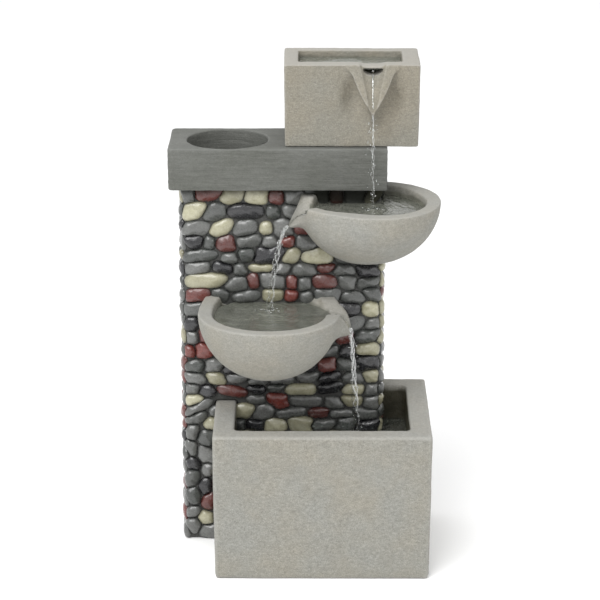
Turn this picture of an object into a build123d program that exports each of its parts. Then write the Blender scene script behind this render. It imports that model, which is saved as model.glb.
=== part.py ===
from build123d import *
import math
import os
import random

# Tiered water fountain: a pebble-faced column standing in a square basin, with two
# half-round bowls, a cap slab with a planter well and a reservoir box with a spout.
# Millimetres, +Z up, front face towards -Y.
# Origin: on the floor, at the middle of the overall width and depth.

# ---------------------------------------------------------------- driving dimensions
BACK_Y = 138.0            # flat plane that every casting shares at the back

BASIN_X = (-129.0, 181.0)
BASIN_FRONT_Y = -109.0
BASIN_HEIGHT = 217.0
BASIN_WALL = 31.0         # width of the rim, over a hollow double wall
BASIN_DRAFT = 2.0
TROUGH_FLOOR_Z = 24.0
SKIN = 6.0                # thickness of the basin's moulded skins

MORTAR_X = (-173.0, 110.0)
MORTAR_FRONT_Y = 37.0
COLUMN_HEIGHT = 540.0
COLUMN_WALL = 8.0
PEBBLE_RISE = 7.0         # how far a pebble stands out of the mortar
ARCH_X = (-70.0, -10.0, 50.0)
ARCH_WIDTH = 32.0
ARCH_HEIGHT = 26.0

SLAB_X = (-192.0, 117.5)
SLAB_FRONT_Y = 13.5
SLAB_TOP_Z = 601.5
WELL_CENTRE = (-109.0, 73.5)
WELL_RADIUS = 57.0
WELL_DEPTH = 53.0
WELL_DRAIN_RADIUS = 5.0
POCKET_X = (-30.0, 96.0)
POCKET_Y = (50.0, 126.0)

BOX_X = (-28.5, 162.0)
BOX_FRONT_Y = 23.0
BOX_TOP_Z = 720.0
BOX_DRAFT = 1.5
BOX_OPENING_X = (-8.0, 137.0)
BOX_OPENING_Y = (47.0, 119.0)
BOX_FLOOR = 12.0
BEAK_X = 95.5
BEAK_TIP_Y = -4.0
BEAK_TIP_Z = 664.0

UPPER_CENTRE = (91.0, 4.0)
UPPER_RADIUS = 101.0
UPPER_RIM_Z = 531.0
UPPER_DEPTH = 91.0

LOWER_CENTRE = (-49.0, -36.0)
LOWER_RADIUS = 102.0
LOWER_RIM_Z = 378.0
LOWER_DEPTH = 97.0

BOWL_RIM = 19.0           # width of a bowl's flat rim
BOWL_BOTTOM = 34.0        # thickness of a bowl's solid bottom
LEDGE_DROP = 12.0         # a bowl's back wall ends this far below its rim
LEDGE_THICKNESS = 6.0

BOLT_RADIUS = 3.0
BOLT_SPACING = 40.0
LOWER_BOLTS = (-49.0, 298.0)   # middle of the two bolts behind the lower bowl, X and Z
UPPER_BOLTS = (70.0, 462.0)    # and behind the upper bowl
INSERT_RADIUS = 5.0
INSERT_LENGTH = 22.0
WASHER_RADIUS = 8.0
WASHER_THICKNESS = 1.6
BOLT_HEAD = (5.5, 4.4)    # radius over the corners, and height

DOOR_X = (-66.0, 60.0)
DOOR_Z = (236.0, 386.0)
DOOR_LIP = 7.0            # overlap of the door's flange on its opening
DOOR_FLANGE = 4.0
DOOR_GAP = 0.5
DOOR_SLOT = (50.0, 18.0)

FITTING_XY = (60.0, 86.0)
FITTING_RADIUS = 10.0
FITTING_BORE = 4.5
FLANGE_RADIUS = 15.0      # flange of the hose fitting inside the reservoir
FIT_GAP = 0.1             # slip fit of the seal and the nut on the fitting

HOSE_OUTER = 8.0
HOSE_INNER = 6.0
BARB_RADIUS = 5.95

PUMP_X = 17.0             # joint face between the motor block and the volute
PUMP_Y = 78.0
PUMP_HALF_WIDTH = 19.0
PUMP_HALF_HEIGHT = 20.0
PUMP_BLOCK_LENGTH = 52.0
CUP_HEIGHT = 6.0
PUMP_Z = TROUGH_FLOOR_Z + CUP_HEIGHT + PUMP_HALF_HEIGHT
VOLUTE_LENGTH = 14.0
COVER_LENGTH = 22.0
SHAFT_RADIUS = 1.5
ROTOR_WELL_RADIUS = 8.0
MAGNET_RADIUS = 7.0
MAGNET_LENGTH = 22.0

GROMMET_XZ = (84.0, 250.0)
CORD_HOLE_RADIUS = 3.0

GROMMET_RADIUS = 9.0
SEAM = 0.5                # clearance where one casting drops over another


# ---------------------------------------------------------------- helpers
def block(x, y, z):
    """A box between two values on each axis."""
    size = (x[1] - x[0], y[1] - y[0], z[1] - z[0])
    centre = ((x[0] + x[1]) / 2, (y[0] + y[1]) / 2, (z[0] + z[1]) / 2)
    return Pos(*centre) * Box(*size)


def drafted_block(x, y, z, draft):
    """A box whose two ends and front lean inwards by draft towards the floor."""
    bottom = Rectangle(x[1] - x[0] - 2 * draft, y[1] - y[0] - draft)
    top = Rectangle(x[1] - x[0], y[1] - y[0])
    mid_x = (x[0] + x[1]) / 2
    low = Pos(mid_x, (y[0] + draft + y[1]) / 2, z[0]) * bottom
    high = Pos(mid_x, (y[0] + y[1]) / 2, z[1]) * top
    return loft([low, high])


def upright_edges(shape):
    """The near-vertical edges of a drafted block, from front to back."""
    middle = shape.bounding_box().center().Z
    return shape.edges().filter_by(lambda edge: abs(edge.center().Z - middle) < 1).sort_by(Axis.Y)


def rod_x(radius, x, y, z):
    """A cylinder along X between x[0] and x[1]."""
    mid = (x[0] + x[1]) / 2
    return Pos(mid, y, z) * Rot(0, 90, 0) * Cylinder(radius, x[1] - x[0])


def rod_y(radius, x, y, z):
    """A cylinder along Y between y[0] and y[1]."""
    mid = (y[0] + y[1]) / 2
    return Pos(x, mid, z) * Rot(90, 0, 0) * Cylinder(radius, y[1] - y[0])


def rod_z(radius, x, y, z):
    """A cylinder along Z between z[0] and z[1]."""
    return Pos(x, y, (z[0] + z[1]) / 2) * Cylinder(radius, z[1] - z[0])


def ellipse_section(centre, normal, half_y, half_across):
    """An ellipse across a path that runs in an XZ plane, with one axis along Y."""
    plane = Plane(origin=centre, x_dir=(0, 1, 0), z_dir=normal)
    return plane * Ellipse(half_y, half_across)


def bill(sections):
    """A smooth bill lofted through (centre, normal, half_y, half_across) sections."""
    return loft([ellipse_section(*section) for section in sections])


# ---------------------------------------------------------------- basin
def make_basin():
    x0, x1 = BASIN_X
    outer = drafted_block(BASIN_X, (BASIN_FRONT_Y, BACK_Y), (0, BASIN_HEIGHT), BASIN_DRAFT)
    outer = fillet(upright_edges(outer)[:2], 4)
    outer = fillet(outer.faces().sort_by(Axis.Z)[-1].edges(), 2.5)
    trough_x = (x0 + BASIN_WALL, x1 - BASIN_WALL)
    trough_y = (BASIN_FRONT_Y + BASIN_WALL, BACK_Y - BASIN_WALL)
    trough = block(trough_x, trough_y, (TROUGH_FLOOR_Z, BASIN_HEIGHT + 1))
    trough = fillet(trough.edges().filter_by(Axis.Z), 8)
    # The walls are hollow from below: an inner block stands off the outer skin and
    # off the trough's own skin.
    hollow = block(
        (x0 + SKIN + BASIN_DRAFT, x1 - SKIN - BASIN_DRAFT),
        (BASIN_FRONT_Y + SKIN + BASIN_DRAFT, BACK_Y - SKIN),
        (-1, BASIN_HEIGHT - SKIN - 2),
    )
    inner_skin = block(
        (trough_x[0] - SKIN, trough_x[1] + SKIN),
        (trough_y[0] - SKIN, trough_y[1] + SKIN),
        (TROUGH_FLOOR_Z - SKIN - 2, BASIN_HEIGHT),
    )
    return outer - (hollow - inner_skin) - trough


# ---------------------------------------------------------------- column
def make_column():
    x0, x1 = MORTAR_X
    y0, y1 = MORTAR_FRONT_Y, BACK_Y
    shell = block((x0, x1), (y0, y1), (0, COLUMN_HEIGHT))
    shell = fillet(shell.edges().filter_by(Axis.Z).sort_by(Axis.Y)[:2], 5)
    w = COLUMN_WALL
    shell -= block((x0 + w, x1 - w), (y0 + w, y1 - w), (-1, COLUMN_HEIGHT + 1))
    # The column drops over the basin's left and rear walls and stands in the trough.
    trough_left = BASIN_X[0] + BASIN_WALL
    trough_back = BACK_Y - BASIN_WALL
    saddle_z = BASIN_HEIGHT + SEAM
    shell -= block((BASIN_X[0] - SEAM, trough_left + SEAM), (y0 - 9, y1 + 9), (-1, saddle_z))
    shell -= block((BASIN_X[0] - SEAM, x1 + 9), (trough_back - SEAM, y1 + 9), (-1, saddle_z))
    shell -= block((BASIN_X[0], x1 + 9), (y0 - 9, y1 + 9), (-1, TROUGH_FLOOR_Z))
    # Arches at the foot of the front wall let the water through to the pump.
    for arch_x in ARCH_X:
        shell -= block(
            (arch_x - ARCH_WIDTH / 2, arch_x + ARCH_WIDTH / 2),
            (y0 - 9, y0 + w + 1),
            (TROUGH_FLOOR_Z - 1, TROUGH_FLOOR_Z + ARCH_HEIGHT),
        )
    # Rear opening with a rebate for the door's flange.
    shell -= block(DOOR_X, (y1 - w - 1, y1 + 1), DOOR_Z)
    shell -= block(
        (DOOR_X[0] - DOOR_LIP - DOOR_GAP, DOOR_X[1] + DOOR_LIP + DOOR_GAP),
        (y1 - DOOR_FLANGE, y1 + 1),
        (DOOR_Z[0] - DOOR_LIP - DOOR_GAP, DOOR_Z[1] + DOOR_LIP + DOOR_GAP),
    )
    shell -= rod_y(GROMMET_RADIUS, GROMMET_XZ[0], (y1 - w - 1, y1 + 1), GROMMET_XZ[1])
    for bolt_x, bolt_z in bolt_places():
        shell -= rod_y(BOLT_RADIUS + 0.5, bolt_x, (y0 - 1, y0 + w + 1), bolt_z)
    return shell


def column_panels():
    """The column as the four castings it is bonded from: the front and rear panels
    run its full width, and the side panels stand between them."""
    shell = make_column()
    x0, x1 = MORTAR_X
    y0, y1 = MORTAR_FRONT_Y, BACK_Y
    w = COLUMN_WALL
    height = (-1, COLUMN_HEIGHT + 1)
    return {
        "column_front": shell & block((x0 - 1, x1 + 1), (y0 - 1, y0 + w), height),
        "column_left": shell & block((x0 - 1, x0 + w), (y0 + w, y1 - w), height),
        "column_right": shell & block((x1 - w, x1 + 1), (y0 + w, y1 - w), height),
        "column_rear": shell & block((x0 - 1, x1 + 1), (y1 - w, y1 + 1), height),
    }


def bolt_places():
    """X and Z of the two bolts behind each bowl."""
    places = []
    for middle_x, bolt_z in (LOWER_BOLTS, UPPER_BOLTS):
        for side in (-0.5, 0.5):
            places.append((middle_x + side * BOLT_SPACING, bolt_z))
    return places


# ---------------------------------------------------------------- pebbles
# Each course is its height and its stones from left to right, as a colour letter and
# a width: G grey, C cream, R red, B black. Widths are scaled to fill the face.
FRONT_COURSES = [
    (24, "G20 R34 C38 C38 R22 G30 G34 R26 G30 C24"),
    (24, "C30 G40 B48 G32 G30 B36 G36 G40"),
    (22, "G34 C38 G32 C24 G28 R26 G36 C28 G34"),
    (22, "B26 G24 R30 G34 G28 R24 G30 G30 R30 G34"),
    (20, "G54 G24 G34 B34 C22 C54 G28 G40"),
    (18, "G42 B28 G24 C34 G28 G32 R26 G30 B36"),
    (20, "C56 G30 R17 G34 R17 G25 R32 G28 G30"),
    (20, "R40 G28 G40 C38 R17 G26 G34 G36 G24"),
    (22, "G26 G30 C28 G34 G36 R22 G30 B46 C22"),
    (21, "B22 G34 G30 R30 G36 G28 C26 G44 G22"),
    (21, "G20 R28 G34 B30 G30 G36 G28 R24 G36"),
    (21, "R14 R28 G34 C28 G36 G30 G34 B22 C32"),
    (22, "G24 G30 B30 G34 G30 B40 R22 G26 B34"),
    (18, "G28 C30 G28 G34 G34 G30 B36 G28 C22"),
    (18, "G20 B26 R38 B32 G34 C40 B38 C30 G22"),
    (18, "C28 G42 C24 G26 R30 G46 G34 C24 G28"),
    (19, "G34 R24 G34 G30 G44 R30 G30 G38"),
    (19, "G30 C26 R24 B30 C26 C36 G30 G26 B34"),
    (24, "G18 G22 B30 G34 G30 R26 G36 C30 G40"),
    (24, "G16 R24 G30 B26 G34 G34 R28 G34 G36"),
    (26, "B18 G20 G34 C30 G32 G34 B28 R30 G34"),
    (24, "G16 B20 C30 G34 R28 G34 G32 G34 B32"),
    (26, "G20 R18 G34 G32 B30 C32 G34 G30 R30"),
    (24, "G18 C16 G34 R30 G34 G30 B32 G34 G30"),
    (20, "G16 G22 B30 G34 G34 C30 G34 G30 G28"),
]
COLOURS = {"G": "grey", "C": "cream", "R": "red", "B": "black"}
SIDE_LETTERS = "GGGGGGGCCRBG"
STONE_GAP = 1.2
DOME = Sphere(1) & Pos(0, 0, 1) * Box(2.2, 2.2, 2)


def front_stones():
    """Centre, half sizes and colour of each stone on the front face."""
    top = COLUMN_HEIGHT - 1
    for height, row in FRONT_COURSES:
        stones = row.split()
        total = sum(float(stone[1:]) for stone in stones)
        scale_x = (MORTAR_X[1] - MORTAR_X[0]) / total
        left = MORTAR_X[0]
        for stone in stones:
            width = float(stone[1:]) * scale_x
            yield left + width / 2, top - height / 2, width / 2, height / 2, stone[0]
            left += width
        top -= height


def side_stones(seed):
    """Centre, half sizes and colour of each stone on a side face, by its depth in Y."""
    dice = random.Random(seed)
    top = COLUMN_HEIGHT - 1
    for height, _ in FRONT_COURSES:
        count = dice.choice((3, 3, 4))
        shares = [dice.uniform(0.7, 1.3) for _ in range(count)]
        scale_y = (BACK_Y - MORTAR_FRONT_Y) / sum(shares)
        front = MORTAR_FRONT_Y
        for share in shares:
            width = share * scale_y
            letter = dice.choice(SIDE_LETTERS)
            yield front + width / 2, top - height / 2, width / 2, height / 2, letter
            front += width
        top -= height


def in_basin_wall(low, high, bottom):
    """Whether a span in X meets the basin's left wall below its rim."""
    hits = high > BASIN_X[0] - 1 and low < BASIN_X[0] + BASIN_WALL + 1
    return hits and bottom < BASIN_HEIGHT + 1


def make_pebbles(bowl_clearance):
    stones = {name: [] for name in COLOURS.values()}
    arch_top = TROUGH_FLOOR_Z + ARCH_HEIGHT + 6

    def add(letter, plane, half_u, half_v):
        dome = scale(DOME, by=(half_u - STONE_GAP / 2, half_v - STONE_GAP / 2, PEBBLE_RISE))
        stone = plane * dome
        full = stone.volume
        for keep_out in bowl_clearance:
            if overlaps(stone, keep_out):
                stone = stone - keep_out
        pieces = [piece for piece in stone.solids() if piece.volume > 0.3 * full]
        stones[COLOURS[letter]].extend(pieces)

    for x, z, half_x, half_z, letter in front_stones():
        if in_basin_wall(x - half_x, x + half_x, z - half_z):
            continue
        if x > BASIN_X[0] and z - half_z < arch_top:
            continue
        plane = Plane(origin=(x, MORTAR_FRONT_Y, z), x_dir=(1, 0, 0), z_dir=(0, -1, 0))
        add(letter, plane, half_x, half_z)
    for side, seed in ((0, 11), (1, 23)):
        outward = (-1, 0, 0) if side == 0 else (1, 0, 0)
        for y, z, half_y, half_z, letter in side_stones(seed):
            if side == 1:
                reaches_rear_wall = y + half_y > BACK_Y - BASIN_WALL - 1
                if reaches_rear_wall and z - half_z < BASIN_HEIGHT + 1:
                    continue
                if z - half_z < arch_top:
                    continue
            plane = Plane(origin=(MORTAR_X[side], y, z), x_dir=(0, 1, 0), z_dir=outward)
            add(letter, plane, half_y, half_z)
    return stones


def overlaps(shape, other):
    """Whether two bounding boxes meet."""
    a = shape.bounding_box()
    b = other.bounding_box()
    apart = (
        a.min.X > b.max.X or b.min.X > a.max.X
        or a.min.Y > b.max.Y or b.min.Y > a.max.Y
        or a.min.Z > b.max.Z or b.min.Z > a.max.Z
    )
    return not apart


# ---------------------------------------------------------------- cap slab
def make_slab():
    slab = block(SLAB_X, (SLAB_FRONT_Y, BACK_Y), (COLUMN_HEIGHT, SLAB_TOP_Z))
    slab = fillet(slab.edges().filter_by(Axis.Z).sort_by(Axis.X)[:2], 7)
    slab = fillet(slab.faces().sort_by(Axis.Z)[-1].edges(), 2)
    slab -= rod_z(WELL_RADIUS, *WELL_CENTRE, (SLAB_TOP_Z - WELL_DEPTH, SLAB_TOP_Z + 1))
    slab -= rod_z(WELL_DRAIN_RADIUS, *WELL_CENTRE, (COLUMN_HEIGHT - 1, SLAB_TOP_Z))
    # Pocket under the right half, inside the column's walls, for the hose fitting.
    slab -= block(POCKET_X, POCKET_Y, (COLUMN_HEIGHT - 1, SLAB_TOP_Z - COLUMN_WALL))
    slab -= rod_z(FITTING_RADIUS + 0.5, *FITTING_XY, (COLUMN_HEIGHT, SLAB_TOP_Z + 1))
    return slab


# ---------------------------------------------------------------- reservoir
def beak_section(y, z_top, half_top, z_low, half_low):
    """A trapezium across the beak at one depth."""
    points = [
        (BEAK_X - half_top, y, z_top),
        (BEAK_X + half_top, y, z_top),
        (BEAK_X + half_low, y, z_low),
        (BEAK_X - half_low, y, z_low),
    ]
    return Face(Wire.make_polygon([Vector(*p) for p in points], close=True))


def make_reservoir():
    box = drafted_block(BOX_X, (BOX_FRONT_Y, BACK_Y), (SLAB_TOP_Z, BOX_TOP_Z), BOX_DRAFT)
    box = fillet(upright_edges(box), 2.5)
    beak = loft(
        [
            beak_section(BOX_FRONT_Y + 14, BOX_TOP_Z, 46, 632, 26),
            beak_section(BOX_FRONT_Y, BOX_TOP_Z, 35, 642, 14),
            beak_section(10, 693, 20, 650, 7.5),
            beak_section(BEAK_TIP_Y, BEAK_TIP_Z, 6.5, 656, 3.5),
        ],
        ruled=True,
    )
    box += beak
    box -= block(BOX_OPENING_X, BOX_OPENING_Y, (SLAB_TOP_Z + BOX_FLOOR, BOX_TOP_Z + 1))
    channel = loft(
        [
            beak_section(BOX_OPENING_Y[0] + 1, BOX_TOP_Z + 9, 21, 702, 12),
            beak_section(BOX_FRONT_Y, BOX_TOP_Z + 5, 17, 694, 7),
            beak_section(10, 700, 10, 679, 4),
            beak_section(BEAK_TIP_Y - 1, BEAK_TIP_Z + 3, 4.2, 660, 2.2),
        ],
        ruled=True,
    )
    box -= channel
    box -= rod_z(FITTING_RADIUS + 0.5, *FITTING_XY, (SLAB_TOP_Z - 1, SLAB_TOP_Z + BOX_FLOOR + 1))
    return box


# ---------------------------------------------------------------- bowls
def bowl_quarter(radius, depth):
    """Half of a bowl's profile: out along the rim, then round to the bottom."""
    steps = ((1.0, 0.0), (0.955, 0.2), (0.875, 0.42), (0.75, 0.62), (0.55, 0.82), (0.3, 0.95), (0.0, 1.0))
    points = [(share_x * radius, -share_z * depth) for share_x, share_z in steps]
    curve = Spline(*points, tangents=[(-0.1, -1), (-1, 0)])
    rim = Line((0, 0), points[0])
    axis = Line(points[-1], (0, 0))
    return make_face(Curve() + [rim, curve, axis])


def bowl_form(centre, rim_z, radius, depth, turn=360):
    """The bowl's profile turned about its axis, its front half only at 180 degrees."""
    turned = revolve(Plane.XZ * bowl_quarter(radius, depth), Axis.Z, turn)
    return Pos(centre[0], centre[1], rim_z) * Rot(0, 0, 180) * turned


def half_barrel(centre, rim_z, radius, depth, end_y):
    """The bowl's profile run straight back from the centre line to end_y."""
    quarter = bowl_quarter(radius, depth)
    plane = Plane(origin=(centre[0], centre[1], rim_z), x_dir=(1, 0, 0), z_dir=(0, -1, 0))
    section = quarter + mirror(quarter, Plane.YZ)
    return extrude(plane * section, centre[1] - end_y)


def column_block(grow, z):
    """The column's outline from the front, grown outwards, over a span of heights."""
    return block(
        (MORTAR_X[0] - 99, MORTAR_X[1] + grow), (MORTAR_FRONT_Y - grow, BACK_Y + 99), z
    )


def lower_bowl_form(radius, depth):
    front = bowl_form(LOWER_CENTRE, LOWER_RIM_Z, radius, depth, 180)
    back = half_barrel(LOWER_CENTRE, LOWER_RIM_Z, radius, depth, MORTAR_FRONT_Y)
    return front + back


LOWER_BILL = [
    ((7, -14, 353), (1, 0, 0.1), 50, 27),
    ((33, -14, 355), (1, 0, -0.1), 46, 25),
    ((52, -15, 351), (0.85, 0, -0.5), 34, 19),
    ((62, -19, 341), (0.35, 0, -0.94), 17, 8),
]
LOWER_CHANNEL = [
    ((-6, -22, 380), (1, 0, 0), 42, 22),
    ((31, -20, 379), (1, 0, -0.3), 27, 14),
    ((54, -20, 364), (0.8, 0, -0.6), 15, 8),
    ((69, -21, 337), (0.15, 0, -1), 9, 6),
]
UPPER_BILL = [
    ((27, 2, 503), (-1, 0, 0.1), 42, 28),
    ((7, 2, 508), (-1, 0, -0.1), 37, 24),
    ((-9, 1, 508), (-0.85, 0, -0.5), 29, 17),
    ((-20, 0, 499), (-0.4, 0, -0.92), 14, 7),
]
UPPER_CHANNEL = [
    ((37, 0, 533), (-1, 0, 0), 36, 22),
    ((7, 1, 532), (-1, 0, -0.35), 22, 13),
    ((-14, 0, 524), (-0.8, 0, -0.6), 14, 9),
    ((-29, -1, 499), (-0.15, 0, -1), 8, 5.5),
]


def make_lower_bowl():
    bowl = lower_bowl_form(LOWER_RADIUS, LOWER_DEPTH) + bill(LOWER_BILL)
    cavity = lower_bowl_form(LOWER_RADIUS - BOWL_RIM, LOWER_DEPTH - BOWL_BOTTOM)
    ledge = column_block(LEDGE_THICKNESS, (0, LOWER_RIM_Z - LEDGE_DROP))
    bowl = bowl - (cavity - ledge) - bill(LOWER_CHANNEL)
    bowl = bowl - block((-300, 300), (-300, 300), (LOWER_RIM_Z, LOWER_RIM_Z + 99))
    return bowl - column_block(0, (0, COLUMN_HEIGHT))


def make_upper_bowl():
    bowl = bowl_form(UPPER_CENTRE, UPPER_RIM_Z, UPPER_RADIUS, UPPER_DEPTH)
    bowl = bowl + bill(UPPER_BILL)
    cavity = bowl_form(
        UPPER_CENTRE, UPPER_RIM_Z, UPPER_RADIUS - BOWL_RIM, UPPER_DEPTH - BOWL_BOTTOM
    )
    ledge = column_block(LEDGE_THICKNESS, (0, UPPER_RIM_Z - LEDGE_DROP))
    bowl = bowl - (cavity - ledge) - bill(UPPER_CHANNEL)
    bowl = bowl - block((-300, 300), (-300, 300), (UPPER_RIM_Z, UPPER_RIM_Z + 99))
    return bowl - column_block(0, (0, COLUMN_HEIGHT))


def drill_bowl(bowl, middle):
    """Sockets for the two threaded inserts in a bowl's back."""
    for side in (-0.5, 0.5):
        bolt_x = middle[0] + side * BOLT_SPACING
        span = (MORTAR_FRONT_Y - INSERT_LENGTH - 1, MORTAR_FRONT_Y + 1)
        bowl = bowl - rod_y(INSERT_RADIUS, bolt_x, span, middle[1])
    return bowl


# ---------------------------------------------------------------- bowl fasteners
def make_fasteners():
    wall_inside = MORTAR_FRONT_Y + COLUMN_WALL
    head_y = wall_inside + WASHER_THICKNESS
    bolts, washers, inserts = [], [], []
    for x, z in bolt_places():
        shank = rod_y(BOLT_RADIUS, x, (MORTAR_FRONT_Y - INSERT_LENGTH + 1, head_y), z)
        hexagon = Plane(origin=(x, head_y, z), x_dir=(1, 0, 0), z_dir=(0, 1, 0)) * RegularPolygon(
            BOLT_HEAD[0], 6
        )
        bolts.append(shank + extrude(hexagon, BOLT_HEAD[1]))
        washer = rod_y(WASHER_RADIUS, x, (wall_inside, head_y), z)
        washers.append(washer - rod_y(BOLT_RADIUS + 0.2, x, (wall_inside - 1, head_y + 1), z))
        insert = rod_y(INSERT_RADIUS, x, (MORTAR_FRONT_Y - INSERT_LENGTH, MORTAR_FRONT_Y), z)
        bore = rod_y(BOLT_RADIUS + 0.05, x, (MORTAR_FRONT_Y - INSERT_LENGTH - 1, head_y), z)
        inserts.append(insert - bore)
    return bolts, washers, inserts


# ---------------------------------------------------------------- rear door and grommet
def make_door():
    plug = block(
        (DOOR_X[0] + DOOR_GAP, DOOR_X[1] - DOOR_GAP),
        (BACK_Y - COLUMN_WALL, BACK_Y - DOOR_FLANGE),
        (DOOR_Z[0] + DOOR_GAP, DOOR_Z[1] - DOOR_GAP),
    )
    flange = block(
        (DOOR_X[0] - DOOR_LIP, DOOR_X[1] + DOOR_LIP),
        (BACK_Y - DOOR_FLANGE, BACK_Y),
        (DOOR_Z[0] - DOOR_LIP, DOOR_Z[1] + DOOR_LIP),
    )
    flange = fillet(flange.edges().filter_by(Axis.Y), 2)
    middle_x = sum(DOOR_X) / 2
    slot_z = DOOR_Z[1] - 24
    slot = block(
        (middle_x - DOOR_SLOT[0] / 2, middle_x + DOOR_SLOT[0] / 2),
        (BACK_Y - COLUMN_WALL - 1, BACK_Y + 1),
        (slot_z - DOOR_SLOT[1] / 2, slot_z + DOOR_SLOT[1] / 2),
    )
    slot = fillet(slot.edges().filter_by(Axis.Y), 6)
    return plug + flange - slot


def make_grommet():
    x, z = GROMMET_XZ
    inside = BACK_Y - COLUMN_WALL
    grommet = rod_y(GROMMET_RADIUS, x, (inside, BACK_Y), z)
    grommet += rod_y(GROMMET_RADIUS + 3, x, (inside - 1.5, inside), z)
    return grommet - rod_y(CORD_HOLE_RADIUS, x, (inside - 3, BACK_Y + 1), z)


# ---------------------------------------------------------------- hose and its fitting
BOX_FLOOR_Z = SLAB_TOP_Z + BOX_FLOOR
NUT_TOP_Z = SLAB_TOP_Z - COLUMN_WALL
SEAL_THICKNESS = 2.0
TAIL_TOP_Z = NUT_TOP_Z - 9.5
HOSE_TOP_Z = TAIL_TOP_Z - 1.0
NOZZLE_X = PUMP_X - 6.0
HOSE_BOTTOM_Z = PUMP_Z + PUMP_HALF_HEIGHT + 4.0


def make_fitting():
    x, y = FITTING_XY
    top = BOX_FLOOR_Z + SEAL_THICKNESS
    body = rod_z(FITTING_RADIUS, x, y, (TAIL_TOP_Z, top))
    body += rod_z(FLANGE_RADIUS, x, y, (top, top + 4))
    body += rod_z(FITTING_RADIUS - 2, x, y, (top + 4, top + 12))
    body += rod_z(BARB_RADIUS, x, y, (TAIL_TOP_Z - 18, TAIL_TOP_Z))
    return body - rod_z(FITTING_BORE, x, y, (TAIL_TOP_Z - 19, top + 13))


def make_fitting_seal():
    x, y = FITTING_XY
    span = (BOX_FLOOR_Z, BOX_FLOOR_Z + SEAL_THICKNESS)
    hole = rod_z(FITTING_RADIUS + FIT_GAP, x, y, (span[0] - 1, span[1] + 1))
    return rod_z(FLANGE_RADIUS, x, y, span) - hole


def make_fitting_nut():
    x, y = FITTING_XY
    nut = Pos(x, y, NUT_TOP_Z - 7) * extrude(RegularPolygon(FITTING_RADIUS + 6, 6), 7)
    return nut - rod_z(FITTING_RADIUS + FIT_GAP, x, y, (NUT_TOP_Z - 8, NUT_TOP_Z + 1))


HOSE_ROUTE = [
    (NOZZLE_X, PUMP_Y, HOSE_BOTTOM_Z),
    (NOZZLE_X, PUMP_Y, 200),
    (34, 83, 328),
    (FITTING_XY[0], FITTING_XY[1], 452),
    (FITTING_XY[0], FITTING_XY[1], HOSE_TOP_Z),
]


def corner_radii(route):
    """The largest arc that each corner's shorter run allows."""
    points = [Vector(*point) for point in route]
    radii = []
    for before, corner, after in zip(points, points[1:], points[2:]):
        run_in, run_out = corner - before, after - corner
        turn = math.radians(run_in.get_angle(run_out))
        radii.append(0.45 * min(run_in.length, run_out.length) / math.tan(turn / 2))
    return radii


def make_hose():
    path = FilletPolyline(*HOSE_ROUTE, radius=corner_radii(HOSE_ROUTE))
    start = Plane(origin=HOSE_ROUTE[0], z_dir=(0, 0, 1))
    outer = sweep(start * Circle(HOSE_OUTER), path=path)
    inner = sweep(start * Circle(HOSE_INNER), path=path)
    return outer - inner


def make_hose_clips():
    clips = []
    for x, y, z in (
        (NOZZLE_X, PUMP_Y, HOSE_BOTTOM_Z + 5),
        (FITTING_XY[0], FITTING_XY[1], HOSE_TOP_Z - 13),
    ):
        band = rod_z(HOSE_OUTER + 1.4, x, y, (z, z + 8))
        ears = block((x - 3, x + 3), (y + HOSE_OUTER, y + HOSE_OUTER + 7), (z, z + 8))
        slit = block((x - 0.8, x + 0.8), (y + HOSE_OUTER + 1.4, y + HOSE_OUTER + 8), (z - 1, z + 9))
        clips.append(band + ears - slit - rod_z(HOSE_OUTER + 0.05, x, y, (z - 1, z + 9)))
    return clips


# ---------------------------------------------------------------- submersible pump
PUMP_LOW_Z = PUMP_Z - PUMP_HALF_HEIGHT
PUMP_HIGH_Z = PUMP_Z + PUMP_HALF_HEIGHT
PUMP_SIDES = (PUMP_Y - PUMP_HALF_WIDTH, PUMP_Y + PUMP_HALF_WIDTH)
VOLUTE_FRONT = PUMP_X - VOLUTE_LENGTH
BLOCK_END = PUMP_X + PUMP_BLOCK_LENGTH
WELL_END = PUMP_X + 26.0
BUSH_LENGTH = 4.0
REAR_BUSH_RADIUS = 4.0
FRONT_BUSH_RADIUS = 3.0
HUB_RADIUS = 3.5
BLADE_COUNT = 6
SEAL_WIDTH = 2.6          # radial width of the ring round the volute's chamber
GLAND_RADIUS = 5.5
GLAND_RISE = 12.0         # height of the cord's gland above the rotor's axis
INTAKE_RADIUS = 8.0
DIAL_RADIUS = 9.5
DIAL_HOLE_RADIUS = 2.2
DIAL_HOLE_CIRCLE = 6.0
DIAL_HOLE_ANGLES = (45, 135, 225, 315)
CHAMBER_RADIUS = 15.0
CHAMBER_DEPTH = 9.0
RUN_GAP = 0.05            # radial running clearance of the rotor on its shaft
COVER_GAP = 0.4


def make_stator_core():
    legs = block((PUMP_X + 4, PUMP_X + 44), (PUMP_Y - 8, PUMP_Y + 8), (PUMP_Z - 15, PUMP_Z + 15))
    return legs - block((PUMP_X, PUMP_X + 38), (PUMP_Y - 9, PUMP_Y + 9), (PUMP_Z - 9.5, PUMP_Z + 9.5))


def make_coil(core):
    coil = block((PUMP_X + 32, PUMP_X + 46.5), (PUMP_Y - 13, PUMP_Y + 13), (PUMP_Z - 8.5, PUMP_Z + 8.5))
    coil = fillet(coil.edges().filter_by(Axis.Z), 3)
    return coil - core


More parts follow.
